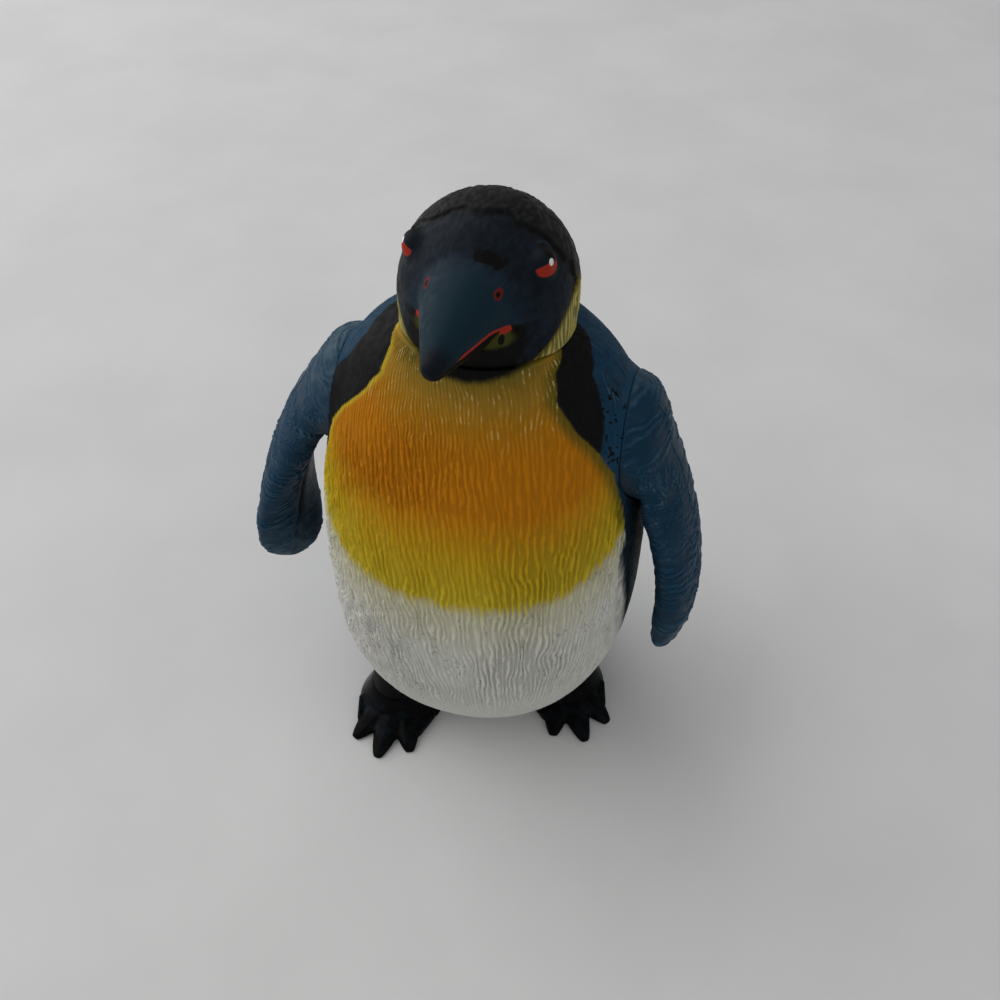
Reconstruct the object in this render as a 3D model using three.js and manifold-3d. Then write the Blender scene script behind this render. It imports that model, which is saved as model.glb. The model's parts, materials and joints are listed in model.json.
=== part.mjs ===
import * as THREE from 'three';
import { LoftGeometry } from 'three/addons/geometries/LoftGeometry.js';
import { mergeVertices } from 'three/addons/utils/BufferGeometryUtils.js';
import Module from 'manifold-3d';

// A standing king penguin figure, cast in soft vinyl as shells that plug into each other.
// Millimetres, +Z up. The bird looks along -Y, its left side is +X, and sizes are measured from the neck axis.
// The soles and the tip of the tail stand on Z = 0. The finished figure is then moved sideways on the
// floor, so that the origin lies under the middle of it.

// Shells and plugs
const wall = 2.6;
const runningGap = 0.3;
const flangeReach = 2.2;
const flangeThickness = 2;
const neckPlugRadius = 10.5;
const shoulderPlugRadius = 5.6;
const anklePlugRadius = 4.6;
const anklePlugLength = 9;

// Torso: how far its outline reaches to the side, front and back, and at which height
const bellyFloor = 6.5;
const bellyHalfWidth = 35;
const bellyHalfWidthLevel = 44;
const bellyFront = 36.5;
const bellyFrontLevel = 42;
const bellyBack = 30;
const bellyBackLevel = 48;
const bellyFullness = 0.74;
const bellySquareness = 2.15;
const neckHeight = 106;
const neckRadius = 16.8;

// How far the flank runs straight up from its widest level, and where it turns in to the neck
const sideRise = 34;
const shoulderReach = 33;
const shoulderDrop = 5;
const chestRise = 30;
const throatReach = 22;
const throatDrop = 18;
const backRise = 30;
const napeReach = 22;
const napeDrop = 10;

// Tail: a flat wedge that starts inside the back, and leans on the floor behind it
const tailRootShare = 0.57;
const tailRootLevel = 27;
const tailReach = 7.4;
const tailTipLevel = 0.8;
const tailRootHalfWidth = 15;
const tailTipHalfWidth = 7;
const tailRootHalfThickness = 11;
const tailTipHalfThickness = 2.6;
const tailEndSquareness = 4;

// Head: an upright rim over the neck, then a dome
const headHalfWidth = 16.5;
const headFront = 18.2;
const headBack = 17;
const rimHeight = 7.2;
const crownRise = 16.5;
const headFullness = 0.55;

// Beak: its root starts inside the head, and its tip is placed over the level where the head is widest
const beakRootFront = 8;
const beakTipFront = 33.8;
const beakRootTopShare = 0.8;
const beakTipRise = 4.9;
const beakTipDepth = 2.8;
const beakRidgeCrown = 0.8;
const beakRootFloor = 1.2;
const beakRootHalfWidth = 10.6;
const beakTipHalfWidth = 1.5;

// Eyes and brows: placed as shares of the head's half width, its front and its dome
const eyeSideShare = 0.68;
const eyeFrontShare = 0.345;
const eyeDomeShare = 0.594;
const eyeHalfLength = 3.3;
const eyeHalfHeight = 2.7;
const eyeProud = 2.3;
const browSideShare = 0.58;
const browFrontShare = 0.19;
const browDomeShare = 0.77;
const browHalfLength = 5;
const browHalfHeight = 1.4;
const browHalfWidth = 2;
const browSlope = 12;

// Shoulder seat: a flat disc that carries the flipper. It leans with the slope of the shoulder, in degrees,
// and the torso flares out to its rim.
const seatSide = 29.5;
const seatBack = 0;
const seatDrop = 22;
const seatTilt = 4;
const seatRadius = 13;
const seatFlare = 4;
const seatFlareDepth = 6;

// Flippers: a dome over the seat, and a blade along a curve from the top of the seat to the tip.
// The right one hangs wider. Spreads are measured out from the widest part of the belly, and drops down from
// the middle of the seat. Twists are degrees. Beyond the seat a flipper stays clear of the torso to turn.
const turnClear = 4.5;
const domeHeight = 6.5;
const bladeTopInset = 3.5;
const bladeTopRise = 11.5;
const bladeShoulderSpread = 0.5;
const bladeShoulderRise = 4;
const leftElbowSpread = 15;
const leftElbowFront = 2;
const leftElbowDrop = 26;
const leftTipSpread = 8;
const leftTipFront = 7;
const leftTipDrop = 51.5;
const leftElbowTwist = 0;
const leftTipTwist = 14;
const rightElbowSpread = 22;
const rightElbowFront = 0;
const rightElbowDrop = 22;
const rightTipSpread = 12;
const rightTipFront = 4;
const rightTipDrop = 54;
const rightElbowTwist = 11;
const rightTipTwist = -55;
const tipCurl = 6;
const bladeRootHalfChord = 13;
const bladeTipHalfChord = 10.5;
const bladeRootHalfThickness = 6;
const bladeTipHalfThickness = 4;
const bladeRootSquareness = 4.5;
const bladeEndSquareness = 7;
const rootDiscThickness = 1.2;

// Feet: the right foot stands a step ahead, the left one is turned out. The ankles are placed as shares of the
// belly's half width and front, and headings are degrees.
const ankleSeatLevel = 8;
const legRadius = 7;
const rightAnkleSideShare = 0.49;
const rightAnkleFrontShare = 0.507;
const rightHeading = 0;
const leftAnkleSideShare = 0.586;
const leftAnkleFrontShare = 0.082;
const leftHeading = 31;
const toeAngle = 25;
const middleToeLength = 19;
const sideToeLength = 17;
const toeRootHalfWidth = 4;
const toeTipHalfWidth = 2;
const toeRootHeight = 6;
const toeTipHeight = 1.8;
const toeWaistShare = 0.4;
const instepHalfWidth = 8;
const instepHalfLength = 9.5;
const instepHeight = 11;
const webShare = 0.55;
const webHeight = 2.4;

// Facets
const torsoAround = 40;
const torsoRows = 10;
const hollowAround = 24;
const hollowRows = 6;
const headAround = 32;
const headRows = 8;
const bladeAround = 20;
const bladeRows = 16;
const toeAround = 12;
const toeRows = 6;
const roundSides = 28;
const domeRows = 12;
const swellingSides = 16;
const swellingRows = 10;
const poleStep = 0.04;

// How far the cutting blocks reach, past every piece
const beyond = 200;

// Levels that follow from the sizes above
const headFoot = neckHeight + runningGap;
const headLevel = headFoot + rimHeight;
const crownHeight = headLevel + crownRise;
const seatLevel = neckHeight - seatDrop;

const wasm = await Module();
wasm.setup();

const vector = (x, y, z) => new THREE.Vector3(x, y, z);
const radians = THREE.MathUtils.degToRad;
const between = THREE.MathUtils.lerp;
const signedPower = (value, power) => Math.sign(value) * Math.abs(value) ** power;

// Turns a closed geometry into a solid that can be joined and cut.
function solid(geometry) {
  const bare = new THREE.BufferGeometry();
  bare.setAttribute('position', geometry.getAttribute('position'));
  bare.setIndex(geometry.getIndex());
  const merged = mergeVertices(bare);
  return new wasm.Manifold(new wasm.Mesh({
    numProp: 3,
    vertProperties: new Float32Array(merged.attributes.position.array),
    triVerts: new Uint32Array(merged.index.array),
  }));
}

// Turns a finished solid into a named mesh.
function piece(name, body, material) {
  const mesh = body.getMesh();
  const geometry = new THREE.BufferGeometry();
  geometry.setAttribute('position', new THREE.BufferAttribute(mesh.vertProperties, 3));
  geometry.setIndex(new THREE.BufferAttribute(mesh.triVerts, 1));
  geometry.computeVertexNormals();
  const result = new THREE.Mesh(geometry, material);
  result.name = name;
  return result;
}

// A round bar along Z between two heights.
function uprightBar(radius, low, high, side = 0, back = 0) {
  const bar = new THREE.CylinderGeometry(radius, radius, high - low, roundSides);
  bar.rotateX(Math.PI / 2);
  bar.translate(side, back, (low + high) / 2);
  return solid(bar);
}

// Moves a shape that was drawn around the Y axis onto the left shoulder, with Y = 0 at the seat's face.
function onSeat(geometry) {
  geometry.rotateZ(-Math.PI / 2);
  geometry.rotateY(-radians(seatTilt));
  geometry.translate(seatSide, seatBack, seatLevel);
  return solid(geometry);
}

// A round bar along the shoulder axis, between two distances out from the seat's face.
function shoulderBar(radius, near, far, nearRadius = radius) {
  const bar = new THREE.CylinderGeometry(radius, nearRadius, far - near, roundSides);
  bar.translate(0, (near + far) / 2, 0);
  return onSeat(bar);
}

// The rounded top of a flipper, over the seat.
function shoulderDome(radius, height, foot) {
  const egg = new THREE.SphereGeometry(1, roundSides, domeRows);
  egg.scale(radius, height, radius);
  egg.translate(0, foot, 0);
  return onSeat(egg);
}

// An egg-shaped swelling with its own half lengths, turned about the bird's left to right axis.
function swelling(halfWidth, halfLength, halfHeight, side, front, level, slope = 0) {
  const egg = new THREE.SphereGeometry(1, swellingSides, swellingRows);
  egg.scale(halfWidth, halfLength, halfHeight);
  egg.rotateX(radians(slope));
  egg.translate(side, -front, level);
  return solid(egg);
}

// A box that reaches from a corner to another.
function block(low, high) {
  const size = high.clone().sub(low);
  const box = new THREE.BoxGeometry(size.x, size.y, size.z);
  box.translate((low.x + high.x) / 2, (low.y + high.y) / 2, (low.z + high.z) / 2);
  return solid(box);
}

// Swaps left and right.
const mirrored = (body) => body.mirror([1, 0, 0]);

// One level of a body: reach and height to the side, front and back, rounded between them.
function ring(side, front, back, squareness, count) {
  const points = [];
  for (let i = 0; i < count; i++) {
    const angle = 2 * Math.PI * i / count;
    const across = Math.cos(angle);
    const along = Math.sin(angle);
    const reach = along < 0 ? front : back;
    points.push(vector(
      side.x * signedPower(across, 2 / squareness),
      reach.x * signedPower(along, 2 / squareness),
      side.y * across ** 2 + reach.y * along ** 2,
    ));
  }
  return points;
}

// A quarter outline from a pole on the axis to the widest point.
function bowl(pole, widest, level, fullness) {
  return new THREE.CubicBezierCurve(
    new THREE.Vector2(0, pole),
    new THREE.Vector2(widest * fullness, pole),
    new THREE.Vector2(widest, between(level, pole, fullness)),
    new THREE.Vector2(widest, level),
  );
}

// The torso's outline: a full bowl below, then a sweep over the shoulder to the neck ring.
// inset draws it in by that much for the hollow.
function torsoOutline(widest, level, rise, shoulder, drop, inset) {
  const lower = bowl(bellyFloor + inset, widest - inset, level, bellyFullness);
  const upper = new THREE.CubicBezierCurve(
    new THREE.Vector2(widest - inset, level),
    new THREE.Vector2(widest - inset, level + rise - inset),
    new THREE.Vector2(shoulder - inset, neckHeight - drop - inset),
    new THREE.Vector2(neckRadius - inset, neckHeight - inset),
  );
  return { lower, upper };
}

function torsoForm(inset, around = torsoAround, rows = torsoRows) {
  const side = torsoOutline(bellyHalfWidth, bellyHalfWidthLevel, sideRise, shoulderReach, shoulderDrop, inset);
  const front = torsoOutline(bellyFront, bellyFrontLevel, chestRise, throatReach, throatDrop, inset);
  const back = torsoOutline(bellyBack, bellyBackLevel, backRise, napeReach, napeDrop, inset);
  const sections = [];
  for (const half of ['lower', 'upper']) {
    for (let row = half === 'lower' ? 0 : 1; row <= rows; row++) {
      const step = half === 'lower' ? between(poleStep, 1, row / rows) : row / rows;
      const squareness = half === 'lower' ? bellySquareness : between(bellySquareness, 2, step);
      const points = [side, front, back].map((outline) => outline[half].getPoint(step));
      sections.push(ring(...points, squareness, around));
    }
  }
  return solid(new LoftGeometry(sections, { capStart: true, capEnd: true }));
}

function tail() {
  const sections = [];
  for (let row = 0; row <= toeRows; row++) {
    const step = (1 - poleStep) * row / toeRows;
    const rounding = Math.sqrt(1 - step ** tailEndSquareness);
    const halfWidth = rounding * between(tailRootHalfWidth, tailTipHalfWidth, step);
    const halfThickness = between(tailRootHalfThickness, tailTipHalfThickness, step);
    const points = [];
    for (let i = 0; i < toeAround; i++) {
      const angle = 2 * Math.PI * i / toeAround;
      points.push(vector(
        -halfWidth * Math.cos(angle),
        between(bellyBack * tailRootShare, bellyBack + tailReach, step),
        between(tailRootLevel, tailTipLevel, step) + halfThickness * Math.sin(angle),
      ));
    }
    sections.push(points);
  }
  return solid(new LoftGeometry(sections, { capStart: true, capEnd: true }));
}

// Where each leg meets its foot.
const ankles = {
  left: {
    side: bellyHalfWidth * leftAnkleSideShare,
    back: -bellyFront * leftAnkleFrontShare,
    heading: leftHeading,
  },
  right: {
    side: -bellyHalfWidth * rightAnkleSideShare,
    back: -bellyFront * rightAnkleFrontShare,
    heading: rightHeading,
  },
};

const underFloor = () => block(vector(-beyond, -beyond, -beyond), vector(beyond, beyond, 0));

function torsoShell() {
  const socketTop = ankleSeatLevel + anklePlugLength + 2 * runningGap;
  const legFoot = ankleSeatLevel + runningGap;
  let shell = torsoForm(0).add(tail());
  let hollow = torsoForm(wall, hollowAround, hollowRows);
  const seat = shoulderBar(seatRadius, -seatFlareDepth, 0, seatRadius + seatFlare);
  const seatClear = shoulderBar(seatRadius, 0, seatRadius);
  const seatWall = shoulderBar(seatRadius + wall, -wall, seatRadius);
  const flangeRoom = shoulderBar(
    shoulderPlugRadius + flangeReach + runningGap,
    -wall - flangeThickness - 2 * runningGap,
    -wall,
  );
  const bore = shoulderBar(shoulderPlugRadius + runningGap, -2 * wall, wall);
  for (const flip of [(body) => body, mirrored]) {
    shell = shell.add(flip(seat)).subtract(flip(seatClear));
    hollow = hollow.subtract(flip(seatWall)).add(flip(flangeRoom));
  }
  for (const { side, back } of Object.values(ankles)) {
    shell = shell.add(uprightBar(legRadius, legFoot, socketTop + wall, side, back));
    hollow = hollow.subtract(uprightBar(anklePlugRadius + runningGap + wall, 0, socketTop + wall, side, back));
  }
  shell = shell.subtract(hollow).subtract(underFloor());
  for (const flip of [(body) => body, mirrored]) {
    shell = shell.subtract(flip(bore));
  }
  for (const { side, back } of Object.values(ankles)) {
    shell = shell.subtract(uprightBar(anklePlugRadius + runningGap, 0, socketTop, side, back));
  }
  return shell.subtract(uprightBar(neckPlugRadius + runningGap, neckHeight - 2 * wall, neckHeight + wall));
}

// The head without its beak: an upright rim, then a dome up to the crown.
function headForm(inset, around = headAround, rows = headRows) {
  const reaches = [headHalfWidth, headFront, headBack];
  const rims = reaches.map((reach) => new THREE.QuadraticBezierCurve(
    new THREE.Vector2(neckRadius - inset, headFoot + inset),
    new THREE.Vector2(reach - inset, (headFoot + headLevel) / 2),
    new THREE.Vector2(reach - inset, headLevel),
  ));
  const domes = reaches.map((reach) => bowl(crownHeight - inset, reach - inset, headLevel, headFullness));
  const sections = [];
  for (let row = 0; row < rows / 2; row++) {
    sections.push(ring(...rims.map((rim) => rim.getPoint(2 * row / rows)), 2, around));
  }
  for (let row = 0; row <= rows; row++) {
    const step = between(1, poleStep, row / rows);
    sections.push(ring(...domes.map((dome) => dome.getPoint(step)), 2, around));
  }
  return solid(new LoftGeometry(sections, { capStart: true, capEnd: true }));
}

// The beak tapers from the face to a blunt tip, with its top ridge slightly crowned.
function beak() {
  const rootTop = between(headLevel, crownHeight, beakRootTopShare);
  const tipTop = headLevel + beakTipRise;
  const sections = [];
  for (let row = 0; row <= headRows; row++) {
    const step = row / headRows;
    const top = between(rootTop, tipTop, step) + beakRidgeCrown * Math.sin(Math.PI * step);
    const bottom = between(headFoot + beakRootFloor, tipTop - beakTipDepth, step);
    const halfWidth = between(beakRootHalfWidth, beakTipHalfWidth, step);
    const points = [];
    for (let i = 0; i < bladeAround; i++) {
      const angle = 2 * Math.PI * i / bladeAround;
      points.push(vector(
        halfWidth * Math.cos(angle),
        -between(beakRootFront, beakTipFront, step),
        (top + bottom) / 2 + (top - bottom) / 2 * Math.sin(angle),
      ));
    }
    sections.push(points);
  }
  return solid(new LoftGeometry(sections, { capStart: true, capEnd: true }));
}

function headShell() {
  const flangeTop = neckHeight - wall - runningGap;
  const flangeBottom = flangeTop - flangeThickness;
  const eye = swelling(
    eyeProud, eyeHalfLength, eyeHalfHeight,
    headHalfWidth * eyeSideShare, headFront * eyeFrontShare, between(headLevel, crownHeight, eyeDomeShare),
  );
  const brow = swelling(
    browHalfWidth, browHalfLength, browHalfHeight,
    headHalfWidth * browSideShare, headFront * browFrontShare, between(headLevel, crownHeight, browDomeShare),
    browSlope,
  );
  let shell = headForm(0).add(beak());
  for (const detail of [eye, brow]) {
    shell = shell.add(detail).add(mirrored(detail));
  }
  shell = shell.add(uprightBar(neckPlugRadius, flangeBottom, headFoot + wall / 2));
  shell = shell.add(uprightBar(neckPlugRadius + flangeReach, flangeBottom, flangeTop));
  shell = shell.subtract(headForm(wall, hollowAround, hollowRows));
  return shell.subtract(uprightBar(neckPlugRadius - wall, flangeBottom - wall, headFoot + 2 * wall));
}

// A place on a flipper's curve, from its spread, front and drop.
function bladePoint(spread, front, drop) {
  return vector(bellyHalfWidth + spread, -front, seatLevel - drop);
}

// A flipper's blade, drawn on the left side: a rounded flat section along a curve.
// It is turned about that curve by one angle half way down and by another, which sets in late, at the tip.
function blade(elbow, tip, elbowTwist, tipTwist) {
  const spine = new THREE.CubicBezierCurve3(
    vector(seatSide - bladeTopInset, seatBack, seatLevel + bladeTopRise),
    vector(seatSide + bladeShoulderSpread, seatBack, seatLevel + bladeShoulderRise),
    elbow,
    tip,
  );
  const sections = [];
  for (let row = 0; row <= bladeRows; row++) {
    const step = between(poleStep / 4, 1 - poleStep / 4, row / bladeRows);
    const centre = spine.getPoint(step);
    const tangent = spine.getTangent(step);
    const turn = radians(elbowTwist * Math.sin(Math.PI * step) + tipTwist * step ** tipCurl);
    const outward = vector(0, 1, 0).cross(tangent).negate().normalize().applyAxisAngle(tangent, turn);
    const forward = vector(0, -1, 0).applyAxisAngle(tangent, turn);
    const squareness = step < 0.5 ? bladeRootSquareness : bladeEndSquareness;
    const rounding = Math.sqrt(1 - Math.abs(2 * step - 1) ** squareness);
    const halfChord = rounding * between(bladeRootHalfChord, bladeTipHalfChord, step);
    const halfThickness = rounding * between(bladeRootHalfThickness, bladeTipHalfThickness, step);
    const points = [];
    for (let i = 0; i < bladeAround; i++) {
      const angle = 2 * Math.PI * i / bladeAround;
      points.push(centre.clone()
        .addScaledVector(outward, halfThickness * Math.cos(angle))
        .addScaledVector(forward, halfChord * Math.sin(angle)));
    }
    sections.push(points);
  }
  return solid(new LoftGeometry(sections, { capStart: true, capEnd: true }));
}

// A flipper, drawn on the left side. Inside the round root it comes in to the seat, and its flanged plug
// goes through the seat.
function flipper(elbow, tip, elbowTwist, tipTwist) {
  const rootRadius = seatRadius - runningGap;
  const rootTop = runningGap + rootDiscThickness;
  const flangeFar = -wall - runningGap;
  const flangeNear = flangeFar - flangeThickness;
  const room = shoulderBar(beyond, turnClear, beyond).add(shoulderBar(rootRadius, runningGap, beyond));
  return blade(elbow, tip, elbowTwist, tipTwist)
    .add(shoulderDome(rootRadius - runningGap, domeHeight, rootTop))
    .intersect(room)
    .add(shoulderBar(rootRadius, runningGap, rootTop))
    .add(shoulderBar(shoulderPlugRadius, flangeNear, rootTop))
    .add(shoulderBar(shoulderPlugRadius + flangeReach, flangeNear, flangeFar));
}

const leftFlipper = () => flipper(
  bladePoint(leftElbowSpread, leftElbowFront, leftElbowDrop),
  bladePoint(leftTipSpread, leftTipFront, leftTipDrop),
  leftElbowTwist,
  leftTipTwist,
);
const rightFlipper = () => mirrored(flipper(
  bladePoint(rightElbowSpread, rightElbowFront, rightElbowDrop),
  bladePoint(rightTipSpread, rightTipFront, rightTipDrop),
  rightElbowTwist,
  rightTipTwist,
));

// A toe that runs from the ankle along -Y, turned by its own angle.
function toe(length, angle) {
  const sections = [];
  for (let row = 0; row <= toeRows; row++) {
    const step = row / toeRows;
    const rounding = Math.sqrt(1 - (poleStep + (1 - 2 * poleStep) * step) ** bladeEndSquareness);
    const halfWidth = rounding * between(toeRootHalfWidth, toeTipHalfWidth, step ** 2);
    const height = rounding * between(toeRootHeight, toeTipHeight, step);
    const points = [];
    for (let i = 0; i < toeAround; i++) {
      const turn = 2 * Math.PI * i / toeAround;
      const level = height * between(toeWaistShare, 1, Math.sin(turn));
      points.push(vector(halfWidth * Math.cos(turn), -length * step, level));
    }
    sections.push(points);
  }
  const geometry = new LoftGeometry(sections, { capStart: true, capEnd: true });
  geometry.rotateZ(radians(angle));
  return solid(geometry);
}

// The skin between the toes, a flat three-cornered web.
function web() {
  const shape = new THREE.Shape();
  shape.moveTo(0, instepHalfLength / 2);
  for (const [length, angle] of [[sideToeLength, -toeAngle], [middleToeLength, 0], [sideToeLength, toeAngle]]) {
    const reach = length * webShare;
    shape.lineTo(reach * Math.sin(radians(angle)), -reach * Math.cos(radians(angle)));
  }
  return solid(new THREE.ExtrudeGeometry(shape, { depth: webHeight, bevelEnabled: false }));
}

// The instep fits under the belly, and the plug stands up into the leg's socket.
function foot({ side, back, heading }) {
  const plugTop = ankleSeatLevel + anklePlugLength;
  const overAnkle = block(vector(-beyond, -beyond, ankleSeatLevel), vector(beyond, beyond, beyond));
  return web()
    .add(toe(middleToeLength, 0))
    .add(toe(sideToeLength, toeAngle))
    .add(toe(sideToeLength, -toeAngle))
    .add(swelling(instepHalfWidth, instepHalfLength, instepHeight, 0, 0, 0))
    .subtract(overAnkle)
    .rotate([0, 0, heading])
    .translate([side, back, 0])
    .subtract(underFloor())
    .subtract(torsoForm(-runningGap))
    .add(uprightBar(anklePlugRadius, webHeight, plugTop, side, back));
}

const slateBlue = new THREE.MeshStandardMaterial({ color: 0x24445c, roughness: 0.6, metalness: 0 });
const bodyCream = new THREE.MeshStandardMaterial({ color: 0xd8d5c8, roughness: 0.62, metalness: 0 });
const headBlack = new THREE.MeshStandardMaterial({ color: 0x1b1b1d, roughness: 0.6, metalness: 0 });
const footBlack = new THREE.MeshStandardMaterial({ color: 0x0d0d0e, roughness: 0.25, metalness: 0 });

const penguin = new THREE.Group();
penguin.name = 'penguin_figure';
penguin.add(
  piece('torso_shell', torsoShell(), bodyCream),
  piece('head_shell', headShell(), headBlack),
  piece('left_flipper', leftFlipper(), slateBlue),
  piece('right_flipper', rightFlipper(), slateBlue),
  piece('left_foot', foot(ankles.left), footBlack),
  piece('right_foot', foot(ankles.right), footBlack),
);

const middle = new THREE.Box3().setFromObject(penguin).getCenter(vector(0, 0, 0));
penguin.position.set(-middle.x, -middle.y, 0);

export default penguin;
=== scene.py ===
import json
import math

import bpy
import numpy as np
from mathutils import Matrix, Vector


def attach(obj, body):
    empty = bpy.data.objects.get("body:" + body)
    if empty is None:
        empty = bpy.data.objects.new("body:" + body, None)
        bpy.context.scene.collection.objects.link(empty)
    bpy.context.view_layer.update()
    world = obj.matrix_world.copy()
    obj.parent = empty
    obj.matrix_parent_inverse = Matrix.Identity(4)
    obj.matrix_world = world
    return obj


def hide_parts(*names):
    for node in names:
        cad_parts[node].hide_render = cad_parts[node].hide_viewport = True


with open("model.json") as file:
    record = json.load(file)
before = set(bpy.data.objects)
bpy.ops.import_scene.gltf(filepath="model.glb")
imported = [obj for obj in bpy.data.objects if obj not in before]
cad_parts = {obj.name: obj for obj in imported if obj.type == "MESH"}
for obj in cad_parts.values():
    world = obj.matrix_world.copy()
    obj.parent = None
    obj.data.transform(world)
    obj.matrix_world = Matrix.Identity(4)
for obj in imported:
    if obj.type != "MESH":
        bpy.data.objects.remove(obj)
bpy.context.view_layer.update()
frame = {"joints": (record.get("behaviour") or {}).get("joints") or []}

# The looks of a painted vinyl penguin figure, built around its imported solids.
# Shapes are worked out in millimetres from the neck axis, as the solids are, then moved into the frame.
# The bird looks along -Y and its left side is +X.
MM = 0.001
joint_places = {joint["name"]: joint["pos_m"] for joint in frame["joints"]}
neck_axis = np.array([joint_places["head_turn"][0], joint_places["head_turn"][1], 0.0])

# Torso, as in the solids
BELLY_FLOOR = 6.5
BELLY_HALF_WIDTH = 35.0
BELLY_HALF_WIDTH_LEVEL = 44.0
BELLY_FRONT = 36.5
BELLY_FRONT_LEVEL = 42.0
BELLY_BACK = 30.0
BELLY_BACK_LEVEL = 48.0
BELLY_FULLNESS = 0.74
BELLY_SQUARENESS = 2.15
NECK_HEIGHT = 106.0
NECK_RADIUS = 16.8
SIDE_RISE = 34.0
SHOULDER_REACH = 33.0
SHOULDER_DROP = 5.0
CHEST_RISE = 30.0
THROAT_REACH = 22.0
THROAT_DROP = 18.0
BACK_RISE = 30.0
NAPE_REACH = 22.0
NAPE_DROP = 10.0
RUNNING_GAP = 0.3

# Tail: pairs run from root to tip, here and below
TAIL_BACK = (17.1, 37.4)
TAIL_LEVEL = (27.0, 0.8)
TAIL_HALF_WIDTH = (15.0, 7.0)
TAIL_HALF_THICKNESS = (11.0, 2.6)
TAIL_END_SQUARENESS = 4.0

# Head and beak
HEAD_HALF_WIDTH = 16.5
HEAD_FRONT = 18.2
HEAD_BACK = 17.0
HEAD_FOOT = NECK_HEIGHT + RUNNING_GAP
HEAD_LEVEL = HEAD_FOOT + 7.2
CROWN_HEIGHT = HEAD_LEVEL + 16.5
HEAD_FULLNESS = 0.55
BEAK_FRONT = (8.0, 33.8)
BEAK_ROOT_TOP = HEAD_LEVEL + 13.2
BEAK_TIP_TOP = HEAD_LEVEL + 4.9
BEAK_RIDGE_CROWN = 0.8
BEAK_ROOT_BOTTOM = HEAD_FOOT + 1.2
BEAK_TIP_BOTTOM = BEAK_TIP_TOP - 2.8
BEAK_HALF_WIDTH = (10.6, 1.5)
BEAK_BLUNT_START = 0.95
BEAK_BLUNT_LENGTH = 0.052

# Shoulder seats and flippers, drawn on the left side
SEAT_CENTRE = np.array([29.5, 0.0, NECK_HEIGHT - 22.0])
SEAT_TILT = math.radians(4.0)
SEAT_AXIS = np.array([math.cos(SEAT_TILT), 0.0, math.sin(SEAT_TILT)])
UPRIGHT = np.array([0.0, 0.0, 1.0])
SEAT_RADIUS = 13.0
VISIBLE_SEAT_RADIUS = 12.95
VISIBLE_GAP = 0.1
RIM_SHARPNESS = 0.85
SEAT_FLARE = 4.0
SEAT_FLARE_DEPTH = 6.0
TURN_CLEAR = 4.5
DOME_HEIGHT = 6.5
ROOT_DISC_THICKNESS = 1.2
BLADE_HALF_CHORD = (13.0, 10.5)
BLADE_HALF_THICKNESS = (6.0, 4.0)
BLADE_ROOT_SQUARENESS = 4.5
BLADE_END_SQUARENESS = 7.0
TIP_CURL = 6.0
# Each blade's root share is a painted sheen of light over the top of that flipper's root: only the right
# flipper has it
BLADES = {
    "left": {
        "elbow": (BELLY_HALF_WIDTH + 15, -2, SEAT_CENTRE[2] - 26),
        "tip": (BELLY_HALF_WIDTH + 8, -7, SEAT_CENTRE[2] - 51.5),
        "elbow_twist": 0,
        "tip_twist": 14,
        "root_sheen": 0.0,
        "flip": 1,
    },
    "right": {
        "elbow": (BELLY_HALF_WIDTH + 22, 0, SEAT_CENTRE[2] - 22),
        "tip": (BELLY_HALF_WIDTH + 12, -4, SEAT_CENTRE[2] - 54),
        "elbow_twist": 11,
        "tip_twist": -55,
        "root_sheen": 1.0,
        "flip": -1,
    },
}

# Feet
ANKLE_SEAT_LEVEL = 8.0
LEG_TOP = 20.2
LEG_TOP_RADIUS = 4.5
CUFF_RADIUS = 7.0
CUFF_FOOT_RADIUS = 11.0
ANKLES = {
    "left": {"side": BELLY_HALF_WIDTH * 0.586, "back": -BELLY_FRONT * 0.082, "heading": 31},
    "right": {"side": -BELLY_HALF_WIDTH * 0.49, "back": -BELLY_FRONT * 0.507, "heading": 0},
}
TOE_ANGLE = 25.0
MIDDLE_TOE_LENGTH = 19.0
SIDE_TOE_LENGTH = 17.0
TOE_HALF_WIDTH = (4.0, 2.0)
TOE_HEIGHT = (6.0, 1.8)
TOE_MIDDLE = 0.4
TOE_START = 0.04
TOE_SPAN = 0.92
FOOT_ROUNDS = 12
INSTEP_HALF_WIDTH = 8.0
INSTEP_HALF_LENGTH = 9.5
INSTEP_HEIGHT = 11.0
WEB_SHARE = 0.55
WEB_HEIGHT = 2.4
HEEL_WEB_ANGLE = 66.0
TOE_WEB_REACH = 13.5
TOE_WEB_ANGLE = 37.0

# Size of the small even faces of each skin
TORSO_FACE = 0.19
HEAD_FACE = 0.22
FLIPPER_FACE = 0.25
FOOT_FACE = 0.25


def between(low, high, share):
    return low + (high - low) * share


def smooth_step(low, high, value):
    share = np.clip((value - low) / (high - low), 0.0, 1.0)
    return share * share * (3.0 - 2.0 * share)


def bump(distance, width):
    """One at no distance, and falling off smoothly to both sides."""
    return np.exp(-(distance / width) ** 2)


def lengths(offsets):
    return np.linalg.norm(offsets, axis=1)


def signed_power(value, power):
    return np.sign(value) * np.abs(value) ** power


def bezier(points, steps):
    """Points along a Bezier curve with any number of control points."""
    layers = [np.outer(np.ones_like(steps), np.array(point, float)) for point in points]
    share = np.asarray(steps, float)[:, None]
    while len(layers) > 1:
        layers = [a * (1.0 - share) + b * share for a, b in zip(layers, layers[1:])]
    return layers[0]


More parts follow.
